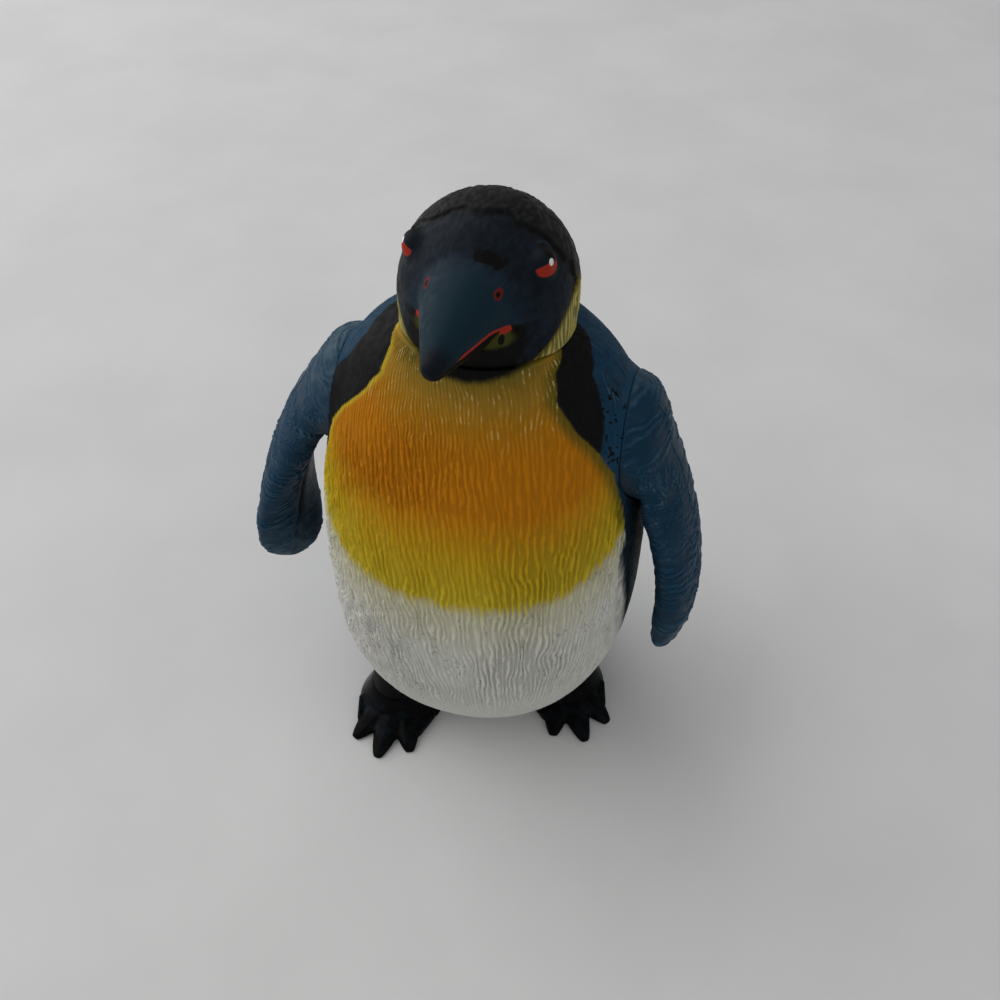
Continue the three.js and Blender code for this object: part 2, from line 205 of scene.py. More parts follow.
def noise(points, seed):
    """Smooth noise from about -1 to 1, one bump per unit of length."""
    cell = np.floor(points).astype(np.int64)
    part = points - cell
    fade = part * part * part * (part * (part * 6.0 - 15.0) + 10.0)
    total = np.zeros(len(points))
    for corner in range(8):
        step = np.array([corner & 1, corner >> 1 & 1, corner >> 2 & 1])
        key = (cell + step) @ np.array([73856093, 19349663, 83492791]) + seed * 2654435
        key = (key ^ (key >> 13)) * 1274126177
        key = (key ^ (key >> 16)) & 0xFFFF
        weight = np.where(step == 1, fade, 1.0 - fade).prod(axis=1)
        total += weight * (key / 32767.5 - 1.0)
    return total * 1.4


def ring(angles, side, front, back, squareness):
    """One level of a body: reach and height to the side, front and back, rounded between them."""
    across = np.cos(angles)
    along = np.sin(angles)
    reach = np.where(along < 0, front[0], back[0])
    level = np.where(along < 0, front[1], back[1])
    return np.stack([
        side[0] * signed_power(across, 2.0 / squareness),
        reach * signed_power(along, 2.0 / squareness),
        side[1] * across ** 2 + level * along ** 2,
    ], axis=1)


def loft(sections):
    """A closed shape through sections that have as many points each."""
    count = len(sections[0])
    points = np.concatenate(sections)
    faces = [list(range(count))[::-1]]
    for row in range(len(sections) - 1):
        start = row * count
        for i in range(count):
            after = (i + 1) % count
            faces.append([start + i, start + after, start + count + after, start + count + i])
    last = (len(sections) - 1) * count
    faces.append(list(range(last, last + count)))
    return points, faces


def around(count):
    return np.arange(count) * 2.0 * math.pi / count


def columns(x, y, z):
    """Points from their coordinates, each a row of numbers or one number for all."""
    return np.stack(np.broadcast_arrays(x, y, z), axis=1)


def level_circle(count, radius, level):
    return columns(radius * np.cos(around(count)), radius * np.sin(around(count)), level)


def oval(count, half_width, back, level, half_height):
    """An upright oval across the way the bird looks."""
    turn = around(count)
    return columns(half_width * np.cos(turn), back, level + half_height * np.sin(turn))


def upright_cone(low_radius, high_radius, low, high, side, back, count=96):
    """A cone between two levels, around an upright axis."""
    ends = [level_circle(count, low_radius, low), level_circle(count, high_radius, high)]
    return loft([end + np.array([side, back, 0.0]) for end in ends])


def on_seat(points):
    """Moves points drawn around the X axis onto the left shoulder, with X = 0 at the seat's face."""
    c, s = math.cos(SEAT_TILT), math.sin(SEAT_TILT)
    return points @ np.array([[c, 0, s], [0, 1, 0], [-s, 0, c]]) + SEAT_CENTRE


def from_seat(points):
    """How far out from a seat's face a point lies, and how far away from the shoulder axis."""
    c, s = math.cos(SEAT_TILT), math.sin(SEAT_TILT)
    offset = one_side(points) - SEAT_CENTRE
    out = c * offset[:, 0] + s * offset[:, 2]
    up = c * offset[:, 2] - s * offset[:, 0]
    return out, np.hypot(offset[:, 1], up)


def shoulder_round(places, radii, count=128):
    """A round shape along the shoulder axis: radii at some distances out from the seat's face."""
    turn = around(count)
    sections = []
    for place, radius in zip(places, radii):
        sections.append(on_seat(columns(place, radius * np.cos(turn), radius * np.sin(turn))))
    return loft(sections)


def egg(half_sizes, centre, rows=40, count=64):
    """An egg-shaped swelling."""
    leans = math.pi * np.linspace(0.02, 0.98, rows)
    points, faces = loft([level_circle(count, math.sin(lean), -math.cos(lean)) for lean in leans])
    return points * np.array(half_sizes) + np.array(centre), faces


def one_side(points):
    """The points with both sides of the bird laid on the left one."""
    return columns(np.abs(points[:, 0]), points[:, 1], points[:, 2])


def mirrored(shape):
    points, faces = shape
    return points * np.array([-1.0, 1.0, 1.0]), [face[::-1] for face in faces]


def add_object(name, data):
    """Puts a mesh, lamp or camera into the scene."""
    made = bpy.data.objects.new(name, data)
    bpy.context.scene.collection.objects.link(made)
    return made


def drop(piece):
    """Takes a piece and its mesh out again."""
    mesh = piece.data
    bpy.data.objects.remove(piece)
    bpy.data.meshes.remove(mesh)


def new_piece(name, shapes):
    """A piece made of closed shapes, still in millimetres."""
    points = []
    faces = []
    for shape_points, shape_faces in shapes:
        start = sum(len(p) for p in points)
        points.append(shape_points)
        faces.extend([[start + i for i in face] for face in shape_faces])
    mesh = bpy.data.meshes.new(name)
    mesh.from_pydata(np.concatenate(points).tolist(), [], faces)
    return add_object(name, mesh)


def settle(piece):
    """Makes what the modifiers show the piece's own mesh."""
    bpy.context.view_layer.update()
    shown = piece.evaluated_get(bpy.context.evaluated_depsgraph_get())
    old = piece.data
    piece.data = bpy.data.meshes.new_from_object(shown)
    piece.modifiers.clear()
    bpy.data.meshes.remove(old)


def cut(piece, shape, operation="DIFFERENCE"):
    """Cuts a piece with a closed shape, or keeps what they share."""
    cutter = new_piece("cutter", [shape])
    change = piece.modifiers.new("cut", "BOOLEAN")
    change.operation = operation
    change.solver = "EXACT"
    change.object = cutter
    settle(piece)
    drop(cutter)


def shape_of(piece):
    """Takes a piece's points and faces, and drops the piece."""
    points = read_points(piece.data)
    faces = [list(face.vertices) for face in piece.data.polygons]
    drop(piece)
    return points, faces


def melt(name, shapes, face_size):
    """Joins closed shapes into one skin of small even faces."""
    piece = new_piece(name, shapes)
    change = piece.modifiers.new("melt", "REMESH")
    change.mode = "VOXEL"
    change.voxel_size = face_size
    settle(piece)
    return piece


def read_points(mesh):
    points = np.empty(len(mesh.vertices) * 3, np.float32)
    mesh.vertices.foreach_get("co", points)
    return points.reshape(-1, 3).astype(float)


def write_points(mesh, points):
    mesh.vertices.foreach_set("co", points.astype(np.float32).ravel())
    mesh.update()


def read_normals(mesh):
    normals = np.empty(len(mesh.vertices) * 3, np.float32)
    mesh.vertex_normals.foreach_get("vector", normals)
    return normals.reshape(-1, 3).astype(float)


def smoothed(mesh, points, rounds, weight):
    """Evens out a skin, more where weight is larger."""
    edges = np.empty(len(mesh.edges) * 2, np.int32)
    mesh.edges.foreach_get("vertices", edges)
    first, second = edges.reshape(-1, 2).T
    moving = weight > 0
    near = moving[first] | moving[second]
    first, second = first[near], second[near]
    used, place_of = np.unique(np.concatenate([first, second]), return_inverse=True)
    first, second = place_of[:len(first)], place_of[len(first):]
    part = points[used]
    count = np.bincount(first, minlength=len(part)) + np.bincount(second, minlength=len(part))
    share = 0.5 * weight[used]
    for _ in range(rounds):
        moved = np.empty_like(part)
        for axis in range(3):
            value = part[:, axis]
            total = np.bincount(first, value[second], len(part))
            total += np.bincount(second, value[first], len(part))
            moved[:, axis] = total / count
        part = part + (moved - part) * share[:, None]
    result = points.copy()
    result[used] = part
    return result


def sharpened(points, centre, axis, radius, reach):
    """Draws the points that lie within reach of a circle out to it, so that two rims meet in a fine line."""
    offset = points - centre
    out = offset @ axis
    flat = offset - np.outer(out, axis)
    distance = lengths(flat)
    near = np.hypot(out, distance - radius) < reach
    corner = centre + flat[near] / distance[near][:, None] * radius
    result = points.copy()
    result[near] = between(points[near], corner, RIM_SHARPNESS)
    return result


def mark(mesh, marks):
    """Keeps named values per point, for the paint to follow."""
    for name, values in marks.items():
        layer = mesh.attributes.new(name, "FLOAT", "POINT")
        layer.data.foreach_set("value", np.asarray(values, np.float32))


def place(piece, body, node, slot, material):
    """Moves a finished skin into the frame, and lets it stand for its solid."""
    mesh = piece.data
    write_points(mesh, read_points(mesh) * MM + neck_axis)
    mesh.polygons.foreach_set("use_smooth", np.ones(len(mesh.polygons), bool))
    mesh.materials.clear()
    mesh.materials.append(material)
    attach(piece, body)
    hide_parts(node)


# Torso
def torso_outline(widest, level, rise, shoulder, drop, inset, low_steps, high_steps):
    """A full bowl below, then a sweep over the shoulder to the neck ring."""
    reach = widest - inset
    floor = BELLY_FLOOR + inset
    lower = bezier([
        (0, floor),
        (reach * BELLY_FULLNESS, floor),
        (reach, between(level, floor, BELLY_FULLNESS)),
        (reach, level),
    ], low_steps)
    upper = bezier([
        (reach, level),
        (reach, level + rise - inset),
        (shoulder - inset, NECK_HEIGHT - drop - inset),
        (NECK_RADIUS - inset, NECK_HEIGHT - inset),
    ], high_steps)
    return np.concatenate([lower, upper])


def torso_form(inset=0.0, count=200, rows=70):
    """The body without tail and legs, drawn in by the inset."""
    angles = around(count)
    low_steps = np.linspace(0.01, 1.0, rows)
    high_steps = np.linspace(0.0, 1.0, rows)[1:]
    ends = (inset, low_steps, high_steps)
    flank = (BELLY_HALF_WIDTH, BELLY_HALF_WIDTH_LEVEL, SIDE_RISE, SHOULDER_REACH, SHOULDER_DROP)
    side = torso_outline(*flank, *ends)
    front = torso_outline(BELLY_FRONT, BELLY_FRONT_LEVEL, CHEST_RISE, THROAT_REACH, THROAT_DROP, *ends)
    back = torso_outline(BELLY_BACK, BELLY_BACK_LEVEL, BACK_RISE, NAPE_REACH, NAPE_DROP, *ends)
    squareness = np.concatenate([np.full(rows, BELLY_SQUARENESS), between(BELLY_SQUARENESS, 2.0, high_steps)])
    return loft([ring(angles, *level) for level in zip(side, front, back, squareness)])


def tail_form(count=64, rows=60):
    """A short flat tail with a rounded end, which reaches down to the floor."""
    sections = []
    for step in np.linspace(0.0, 0.98, rows):
        rounding = math.sqrt(1.0 - step ** TAIL_END_SQUARENESS)
        half_width = rounding * between(*TAIL_HALF_WIDTH, step)
        half_thickness = between(*TAIL_HALF_THICKNESS, step)
        back = between(*TAIL_BACK, step)
        level = between(*TAIL_LEVEL, step)
        sections.append(oval(count, -half_width, back, level, half_thickness))
    points, faces = loft(sections)
    points[:, 2] = np.maximum(points[:, 2], 0.0)
    return points, faces


def bearing(points):
    """Angle away from straight ahead, in degrees, alike on both sides."""
    return np.degrees(np.arctan2(np.abs(points[:, 0]), -points[:, 1]))


# Paint borders on the torso: the angle from straight ahead at some heights, and the lower edge of the yellow
FRONT_EDGE_LEVELS = (10, 30, 46, 60, 76, 85, 90, 95, 100, 104, 106)
FRONT_EDGE_ANGLES = (84, 81, 76, 70, 67.5, 64.5, 60.5, 54, 50.5, 55, 68)
BAND_EDGE_LEVELS = (86, 90, 94, 98, 102, 104, 106)
BAND_LEFT_ANGLES = (57.5, 61.5, 66.5, 69.5, 73, 82, 100)
BAND_RIGHT_ANGLES = (68, 72, 75, 75, 76, 84, 100)
CHIN_LEFT_ANGLES = (0, 11, 42, 59, 72, 92, 99, 108, 113)
CHIN_LEFT_LEVELS = (104, 104.1, 106.5, 110.2, 113.2, 117, 117, 112.5, 106)
CHIN_RIGHT_ANGLES = (0, 11, 30, 42, 52, 76, 90, 103, 109)
CHIN_RIGHT_LEVELS = (104, 104.1, 105.7, 108.2, 112.4, 115.4, 116, 112.5, 106)
YELLOW_FOOT = 60.3
YELLOW_FOOT_RISE = 9.0
YELLOW_FOOT_ANGLE = 66.0
YELLOW_FOOT_CURVE = 3.5
# Where the flanks darken below the flippers: partly navy paint, partly painted shade from the flippers
FLANK_ANGLE = 82.0
FLANK_SPREAD = 20.0
RIGHT_RIM_SHARE = 2.4
LEG_PAINT_REACH = CUFF_RADIUS + 0.4

# Pairs of values between which something changes, from its first state to its second
SIDE_CHANGE = (-4.0, 4.0)
FLANK_TOP = (88.0, 74.0)
PIT_BAND = (-7.0, -4.0)
PIT_FOOT = (83.0, 87.0)
PIT_TOP = (101.0, 98.0)


def chin_border(points):
    """The height at which the black of the face gives way to the yellow collar."""
    angle = bearing(points)
    left = np.interp(angle, CHIN_LEFT_ANGLES, CHIN_LEFT_LEVELS)
    right = np.interp(angle, CHIN_RIGHT_ANGLES, CHIN_RIGHT_LEVELS)
    return np.where(points[:, 0] < 0, right, left)


# Feathers in relief, and folds at the armpits
STRAND_PITCH = 1.4
FINE_STRAND_PITCH = 0.85
COLLAR_STRAND_PITCH = 1.5
STRAND_SLANT = 0.55
STRAND_SHARPNESS = 1.4
COMB_MIDDLE = 25.0
COMB_LEVEL = 70.0
LONG_WANDER = np.array([3.0, 3.0, 5.0])
SHORT_WANDER = np.array([1.2, 1.2, 1.9])
STRAND_BREAK = np.array([1.1, 1.1, 3.0])
ARMPIT = np.array([31.0, -10.0, 73.0])
FOLD_COUNT = 44
FOLD_OUTER = (17.0, 9.0)
FOLD_INNER = (0.5, 3.0)


def ridges(line, sharpness, alive):
    """Raised lines, one per unit of length, where they are alive: their height from -1 to 1."""
    crest = 0.5 + 0.5 * np.cos(2.0 * math.pi * line)
    return 2.0 * crest ** sharpness * alive - 1.0


def strands(points, pitch, waviness, seed):
    """Raised lines, combed down and in towards the middle of the belly: their height from -1 to 1."""
    turn = np.arctan2(points[:, 0], -points[:, 1])
    lean = STRAND_SLANT * np.sin(turn - math.radians(COMB_MIDDLE))
    count = round(2.0 * math.pi * BELLY_HALF_WIDTH / pitch)
    line = turn * count * pitch / (2.0 * math.pi)
    line -= lean * (np.minimum(points[:, 2], NECK_HEIGHT) - COMB_LEVEL)
    wander = 0.6 * noise(points / LONG_WANDER, seed) + 0.16 * noise(points / SHORT_WANDER, seed + 1)
    alive = between(0.35, 1.0, smooth_step(-0.6, 0.3, noise(points / STRAND_BREAK, seed + 2)))
    return ridges((line + waviness * wander) / pitch, STRAND_SHARPNESS, alive)


def armpit_folds(points, seed):
    """Folds that fan out from the armpit, and how near it a point lies."""
    offset = one_side(points) - ARMPIT
    turn = np.arctan2(offset[:, 2], -offset[:, 1])
    turn = turn + 0.16 * noise(points / 2.5, seed) + 0.1 * noise(points / 1.0, seed + 1)
    alive = between(0.2, 1.0, smooth_step(-0.4, 0.2, noise(points / 1.8, seed + 2)))
    distance = lengths(offset)
    near = smooth_step(*FOLD_OUTER, distance) * smooth_step(*FOLD_INNER, distance)
    return ridges(FOLD_COUNT * turn / (2.0 * math.pi), 1.0, alive), near


# How the torso's skin is evened out
EVEN_ROUNDS = 3
FLARE_ROUNDS = 120
TAIL_ROUNDS = 40
RIM_WIDTH = 0.5
TAIL_BLEND_BACK = (14.0, 20.0)
TAIL_BLEND_TOP = (42.0, 30.0)
TAIL_BLEND_FOOT = (4.0, 9.0)
FLARE_INNER = (SEAT_RADIUS + 0.2, SEAT_RADIUS + 2.0)
FLARE_OUTER = (SEAT_RADIUS + 10.0, SEAT_RADIUS + 6.0)

# Relief of the torso: depths in millimetres, and where each of them changes
BELLY_DEPTH = 0.5
CHEST_DEPTH = 0.25
BACK_DEPTH = 0.04
ARMPIT_DEPTH = 0.08
RIGHT_DEPTH_SHARE = 1.15
LEFT_DEPTH_SHARE = 0.75
THROAT_DEPTH_SHARE = 0.6
BELLY_WAVINESS = 1.2
CHEST_WAVINESS = 0.6
FINE_SHARE = 0.33
THROAT_FINE_SHARE = 0.8
STRAND_CONTRAST = 1.35
STRAND_LIFT = 0.15
PARTING_HEIGHT = 0.16
PARTING_HALF_WIDTH = 0.28
GRIT_HEIGHT = 0.03
GRIT_SIZE = 0.45
WAVINESS_CHANGE = (-2.0, 16.0)
DEPTH_CHANGE = (4.0, 14.0)
THROAT_CHANGE = (86.0, 97.0)
FRONT_CHANGE = (-2.0, 2.0)
BEHIND_FRONT = (-1.0, -2.0)
RELIEF_FOOT = (20.0, 44.0)
PARTING_FOOT = (84.0, 90.0)
SEAT_RIM_FADE = (SEAT_RADIUS + 1.4, SEAT_RADIUS + 0.3)
NECK_RIM_FADE = (NECK_HEIGHT - 0.6, NECK_HEIGHT - 0.2)


def torso_shapes():
    """The body with its shoulder pockets, the tail, the flared seats and the legs."""
    body = new_piece("torso_core", [torso_form()])
    pocket = shoulder_round((0.0, SEAT_RADIUS), (VISIBLE_SEAT_RADIUS, VISIBLE_SEAT_RADIUS))
    cut(body, pocket)
    cut(body, mirrored(pocket))
    seat = shoulder_round((-SEAT_FLARE_DEPTH, 0.0), (SEAT_RADIUS + SEAT_FLARE, VISIBLE_SEAT_RADIUS))
    shapes = [shape_of(body), tail_form(), seat, mirrored(seat)]
    leg_foot = ANKLE_SEAT_LEVEL + RUNNING_GAP
    for ankle in ANKLES.values():
        where = (ankle["side"], ankle["back"])
        shapes.append(upright_cone(CUFF_RADIUS, LEG_TOP_RADIUS, leg_foot, LEG_TOP, *where))
    return shapes


def even_torso(mesh, points, beside, seat_distance):
    """Blends the tail and the seats into the body, and draws the neck and seat rims sharp."""
    tail_root = smooth_step(*TAIL_BLEND_BACK, points[:, 1]) * smooth_step(*TAIL_BLEND_TOP, points[:, 2])
    tail_root *= smooth_step(*TAIL_BLEND_FOOT, points[:, 2])
    flare = smooth_step(*FLARE_INNER, seat_distance) * smooth_step(*FLARE_OUTER, seat_distance) * beside
    rim = beside * (np.abs(seat_distance - VISIBLE_SEAT_RADIUS) < RIM_WIDTH)
    points = smoothed(mesh, points, EVEN_ROUNDS, 1.0 - rim)
    points = smoothed(mesh, points, FLARE_ROUNDS, flare)
    points = smoothed(mesh, points, TAIL_ROUNDS, tail_root)
    points = sharpened(points, np.array([0.0, 0.0, NECK_HEIGHT]), UPRIGHT, NECK_RADIUS, TORSO_FACE)
    sides = np.where(points[:, :1] < 0, -1.0, 1.0) * [1.0, 0.0, 0.0] + [0.0, 1.0, 1.0]
    return sharpened(points * sides, SEAT_CENTRE, SEAT_AXIS, VISIBLE_SEAT_RADIUS, TORSO_FACE) * sides


def torso_marks(points):
    """How far inside each border of the paint a point lies, in millimetres, and shares of other paint."""
    angle = bearing(points)
    level = points[:, 2]
    arc = np.radians(1.0) * np.hypot(points[:, 0], points[:, 1])
    left_side = smooth_step(*SIDE_CHANGE, points[:, 0])
    band_left = np.interp(level, BAND_EDGE_LEVELS, BAND_LEFT_ANGLES)
    band_right = np.interp(level, BAND_EDGE_LEVELS, BAND_RIGHT_ANGLES)
    front = (np.interp(level, FRONT_EDGE_LEVELS, FRONT_EDGE_ANGLES) - angle) * arc
    band = (between(band_right, band_left, left_side) - angle) * arc
    rise = YELLOW_FOOT_RISE * np.clip(angle / YELLOW_FOOT_ANGLE, 0.0, 1.2) ** YELLOW_FOOT_CURVE
    pitted = smooth_step(*PIT_BAND, band) * smooth_step(*PIT_FOOT, level) * smooth_step(*PIT_TOP, level)
    leg = np.zeros(len(points))
    for ankle in ANKLES.values():
        from_leg = np.hypot(points[:, 0] - ankle["side"], points[:, 1] - ankle["back"])
        leg = np.maximum(leg, (from_leg < LEG_PAINT_REACH) * (level < LEG_TOP))
    return {
        "front": front,
        "band": band,
        "above": level - YELLOW_FOOT - rise,
        "level": level,
        "leg": leg,
        "pitted": pitted * (points[:, 0] > 0),
        "left_side": left_side,
        "rim": front * between(RIGHT_RIM_SHARE, 1.0, left_side),
        "throat": level - chin_border(points),
        # Flanks darker below the flippers: navy paint, and painted shade from the flippers
        "flank": bump(angle - FLANK_ANGLE, FLANK_SPREAD) * smooth_step(*FLANK_TOP, level),
    }


def torso_relief(points, marks):
    """Combed feathers and the folds at the armpits, from -1 to 1, and how deep they go."""
    above = marks["above"]
    waviness = between(BELLY_WAVINESS, CHEST_WAVINESS, smooth_step(*WAVINESS_CHANGE, above))
    throat = smooth_step(*THROAT_CHANGE, points[:, 2])
    coarse = strands(points, STRAND_PITCH, waviness, seed=30)
    fine = strands(points, FINE_STRAND_PITCH, waviness, seed=34)
    relief = between(coarse, fine, between(FINE_SHARE, THROAT_FINE_SHARE, throat))
    relief = np.clip(STRAND_CONTRAST * relief + STRAND_LIFT, -1.0, 1.0)
    folds, by_armpit = armpit_folds(points, seed=70)
    by_armpit = by_armpit * smooth_step(*BEHIND_FRONT, marks["front"])
    depth = between(BELLY_DEPTH, CHEST_DEPTH, smooth_step(*DEPTH_CHANGE, above))
    depth *= between(RIGHT_DEPTH_SHARE, LEFT_DEPTH_SHARE, marks["left_side"])
    depth *= between(1.0, THROAT_DEPTH_SHARE, throat)
    back_depth = BACK_DEPTH + ARMPIT_DEPTH * by_armpit
    depth = between(back_depth, depth, smooth_step(*FRONT_CHANGE, marks["front"]))
    return between(relief, folds, by_armpit), depth


def make_torso():
    piece = melt("torso_skin", torso_shapes(), TORSO_FACE)
    mesh = piece.data
    points = read_points(mesh)
    _, seat_distance = from_seat(points)
    beside = np.abs(points[:, 0]) > SEAT_CENTRE[0] - 2.0 * SEAT_FLARE_DEPTH
    points = even_torso(mesh, points, beside, seat_distance)
    write_points(mesh, points)
    marks = torso_marks(points)
    level = points[:, 2]
    on_rim = beside * smooth_step(*SEAT_RIM_FADE, seat_distance)
    plain = np.clip(1.0 - on_rim - marks["leg"] - smooth_step(*NECK_RIM_FADE, level), 0.0, 1.0)
    plain *= between(0.1, 1.0, smooth_step(*RELIEF_FOOT, level))
    plain *= between(0.5, 1.0, smooth_step(-0.5, 0.3, noise(points / 14.0, seed=50)))
    relief, depth = torso_relief(points, marks)
    from_parting = points[:, 1] - SEAT_CENTRE[1] + 0.4 * noise(points / 5.0, seed=51)
    parting = bump(from_parting, PARTING_HALF_WIDTH)
    parting *= smooth_step(*PARTING_FOOT, level) * (marks["front"] < 0) * (1.0 - on_rim)
    grit = GRIT_HEIGHT * noise(points / GRIT_SIZE, seed=52)
    lift = (depth * relief + grit) * plain + PARTING_HEIGHT * parting
    lifted = points + read_normals(mesh) * lift[:, None]
    lifted[:, 2] = np.maximum(lifted[:, 2], 0.0)
    write_points(mesh, lifted)
    marks["relief"] = relief * plain
    mark(mesh, marks)
    paint = painted("torso_paint", torso_coat, rough=(0.5, 0.65), gloss=0.09)
    place(piece, "torso", "torso_shell", "torso_vinyl", paint)


# Head
def head_form(count=160, rows=60):
    """A round skull that draws in to the neck ring."""
    angles = around(count)
    rim_steps = np.linspace(0.0, 1.0, rows // 3)[:-1]
    dome_steps = np.linspace(1.0, 0.01, rows)
    levels = []
    for reach in (HEAD_HALF_WIDTH, HEAD_FRONT, HEAD_BACK):
        rim = bezier([
            (NECK_RADIUS, HEAD_FOOT),
            (reach, between(HEAD_FOOT, HEAD_LEVEL, 0.5)),
            (reach, HEAD_LEVEL),
        ], rim_steps)
        dome = bezier([
            (0, CROWN_HEIGHT),
            (reach * HEAD_FULLNESS, CROWN_HEIGHT),
            (reach, between(HEAD_LEVEL, CROWN_HEIGHT, HEAD_FULLNESS)),
            (reach, HEAD_LEVEL),
        ], dome_steps)
        levels.append(np.concatenate([rim, dome]))
    return loft([ring(angles, *level, 2.0) for level in zip(*levels)])


def beak_form(count=96, rows=80):
    """A long beak with an arched ridge and a blunt tip."""
    sections = []
    for step in np.linspace(0.0, 1.0, rows):
        top = between(BEAK_ROOT_TOP, BEAK_TIP_TOP, step) + BEAK_RIDGE_CROWN * math.sin(math.pi * step)
        bottom = between(BEAK_ROOT_BOTTOM, BEAK_TIP_BOTTOM, step)
        half_width = between(*BEAK_HALF_WIDTH, step)
        into_tip = max(0.0, (step - BEAK_BLUNT_START) / BEAK_BLUNT_LENGTH)
        blunt = math.sqrt(max(0.0, 1.0 - into_tip ** 2))
        front = between(*BEAK_FRONT, step)
        half_height = blunt * (top - bottom) / 2
        sections.append(oval(count, blunt * half_width, -front, (top + bottom) / 2, half_height))
    return loft(sections)


# The eye, drawn on the left side: places on its face are given as forward and up from its centre
EYE_CENTRE = np.array([HEAD_HALF_WIDTH * 0.68, -HEAD_FRONT * 0.345, between(HEAD_LEVEL, CROWN_HEIGHT, 0.594)])
EYE_HALF_SIZES = (2.3, 3.3, 2.7)
EYE_FACE = EYE_CENTRE + np.array([1.2, -0.1, 0.0])
EYE_REACH = 5.0
EYE_PROUD = 0.45
EYE_FORWARD = np.array([-0.35, -0.93, 0.1])
EYE_UP = np.array([-0.45, 0.1, 0.89])
RED_PLACE = (-0.2, -0.25)
RED_HALF_WIDTH = 3.1
RED_HALF_HEIGHT = 2.1
RED_TOP = 0.05
PUPIL_PLACE = (-1.0, 1.1)
PUPIL_RADIUS = 1.7
# A painted highlight on each eye: a small white glint
GLINT_PLACE = (0.45, -0.05)
GLINT_RADIUS = 0.6
# A painted highlight: a thin pale arc on the eyelid's rim above the pupil
LID_PLACE = (-1.0, 1.0)
LID_RADIUS = 2.0
LID_HALF_WIDTH = 0.2
LID_FRONT = -0.8

# Other paint of the head: a spot has a centre and a stretch along the axes, and then a radius
NOSTRIL = ((6.3, -15.6, 121.9), (1.0, 0.7, 1.0))
NOSTRIL_RADIUS = 0.9
NOSTRIL_HOLE = 0.52
PATCH = ((7.2, -17.6, 113.6), (0.6, 1.0, 1.3))
PATCH_RADIUS = 2.6
GAPE = ((7.4, -16.2, 115.4), (0.7, 0.8, 1.5))
GAPE_RADIUS = 1.1
# The slit at the corner of the mouth is painted shade: black where the mouth opens
SLIT = ((7.0, -16.4, 113.6), (1.4, 1.4, 0.7))
SLIT_RADIUS = 0.9
BLOT = ((3.7, -11.0, 125.8), (0.55, 0.8, 1.0))
BLOT_RADIUS = 1.5
GAPE_FRONT = 15.4
MOUTH_LEVEL = 117.2
LIP_HALF_WIDTH = 0.3
LIP_END = (27.0, 32.0)
BEAK_PAINT_FRONT = 14.5
CHIN_FRONT = 13.0
OUTSIDE = -5.0


def spot(points, centre, stretch):
    """Distance from a centre, stretched along each axis."""
    return lengths((points - np.array(centre)) * np.array(stretch))


def from_eye(points):
    return lengths(one_side(points) - EYE_FACE)


def mouth_height(points):
    """Height over the mouth line, which sinks at the gape and a little at the tip."""
    front = -points[:, 1]
    line = MOUTH_LEVEL - 1.4 * smooth_step(21.0, 15.0, front) - 0.5 * smooth_step(28.0, 34.0, front)
    return points[:, 2] - line


def crown_cap(points):
    """How far behind the brow line a point lies, where the cap, grey as with dust, starts with a ragged edge.
    """
    ragged = 0.7 * noise(points / 1.6, 16) + 0.5 * noise(points / 4.0, 17)
    return points[:, 1] + 2.8 - 2.3 * smooth_step(11.5, 14.5, np.abs(points[:, 0])) + ragged


def head_relief(points):
    """Short fine feathers, swept back over the crown, and almost none on the face."""
    wander = np.stack([noise(points / 3.0, seed) for seed in (11, 12, 13)], axis=1)
    swept = points + 0.5 * wander
    fine = noise(swept / np.array([0.65, 1.4, 0.9]), 14)
    return fine * between(0.35, 1.0, smooth_step(-0.5, 1.5, crown_cap(points)))


def eye_marks(points):
    """Of the eyes: the red, the pupil, the painted glint, and the painted highlight on the eyelid's rim, each
    above zero inside.
    """
    offset = one_side(points) - EYE_CENTRE
    forward = offset @ EYE_FORWARD
    up = offset @ EYE_UP

    def away(place):
        return np.hypot(forward - place[0], up - place[1])

    across = (forward - RED_PLACE[0]) / RED_HALF_WIDTH
    boat = RED_HALF_HEIGHT * (1.0 - np.hypot(across, (up - RED_PLACE[1]) / RED_HALF_HEIGHT))
    shapes = {
        "red": np.minimum(boat, RED_TOP - up),
        "pupil": PUPIL_RADIUS - away(PUPIL_PLACE),
        "glint": GLINT_RADIUS - away(GLINT_PLACE),
        "lid_highlight": np.minimum(LID_HALF_WIDTH - np.abs(away(LID_PLACE) - LID_RADIUS), LID_FRONT - forward),
    }
    near = from_eye(points) < EYE_REACH
    return {name: np.where(near, shape, OUTSIDE) for name, shape in shapes.items()}


def mark_head(mesh, points):
    """Keeps how far inside each patch of the head's paint a point lies, in millimetres."""
    side = one_side(points)
    front = -points[:, 1]
    over_mouth = mouth_height(points)
    eye = eye_marks(points)
    nostril = spot(side, *NOSTRIL) + 0.12 * noise(points / 0.9, seed=18)
    lips = LIP_HALF_WIDTH - np.abs(over_mouth) - 0.8 * smooth_step(*LIP_END, front)
    lips = np.where(front > GAPE_FRONT, lips, OUTSIDE)
    gape = GAPE_RADIUS - spot(side, *GAPE)
    slit = SLIT_RADIUS - spot(side, *SLIT)
    marks = {
        "crown": crown_cap(points),
        "blot": BLOT_RADIUS - spot(points, *BLOT) + 0.6 * noise(points / 1.3, seed=15),
        "beak": front - BEAK_PAINT_FRONT - 0.12 * np.abs(points[:, 0]),
        "chin": np.minimum(-over_mouth, 0.2 * (front - CHIN_FRONT)),
        "patch": PATCH_RADIUS - spot(side, *PATCH),
        "collar": chin_border(points) - points[:, 2],
        "red": np.maximum(eye["red"], np.maximum(lips, gape)),
        "nostril": NOSTRIL_RADIUS - nostril,
        "dark": np.maximum(np.maximum(eye["pupil"], NOSTRIL_HOLE - nostril), slit),
        "glint": eye["glint"],
        "lid_highlight": eye["lid_highlight"],
    }
    mark(mesh, marks)


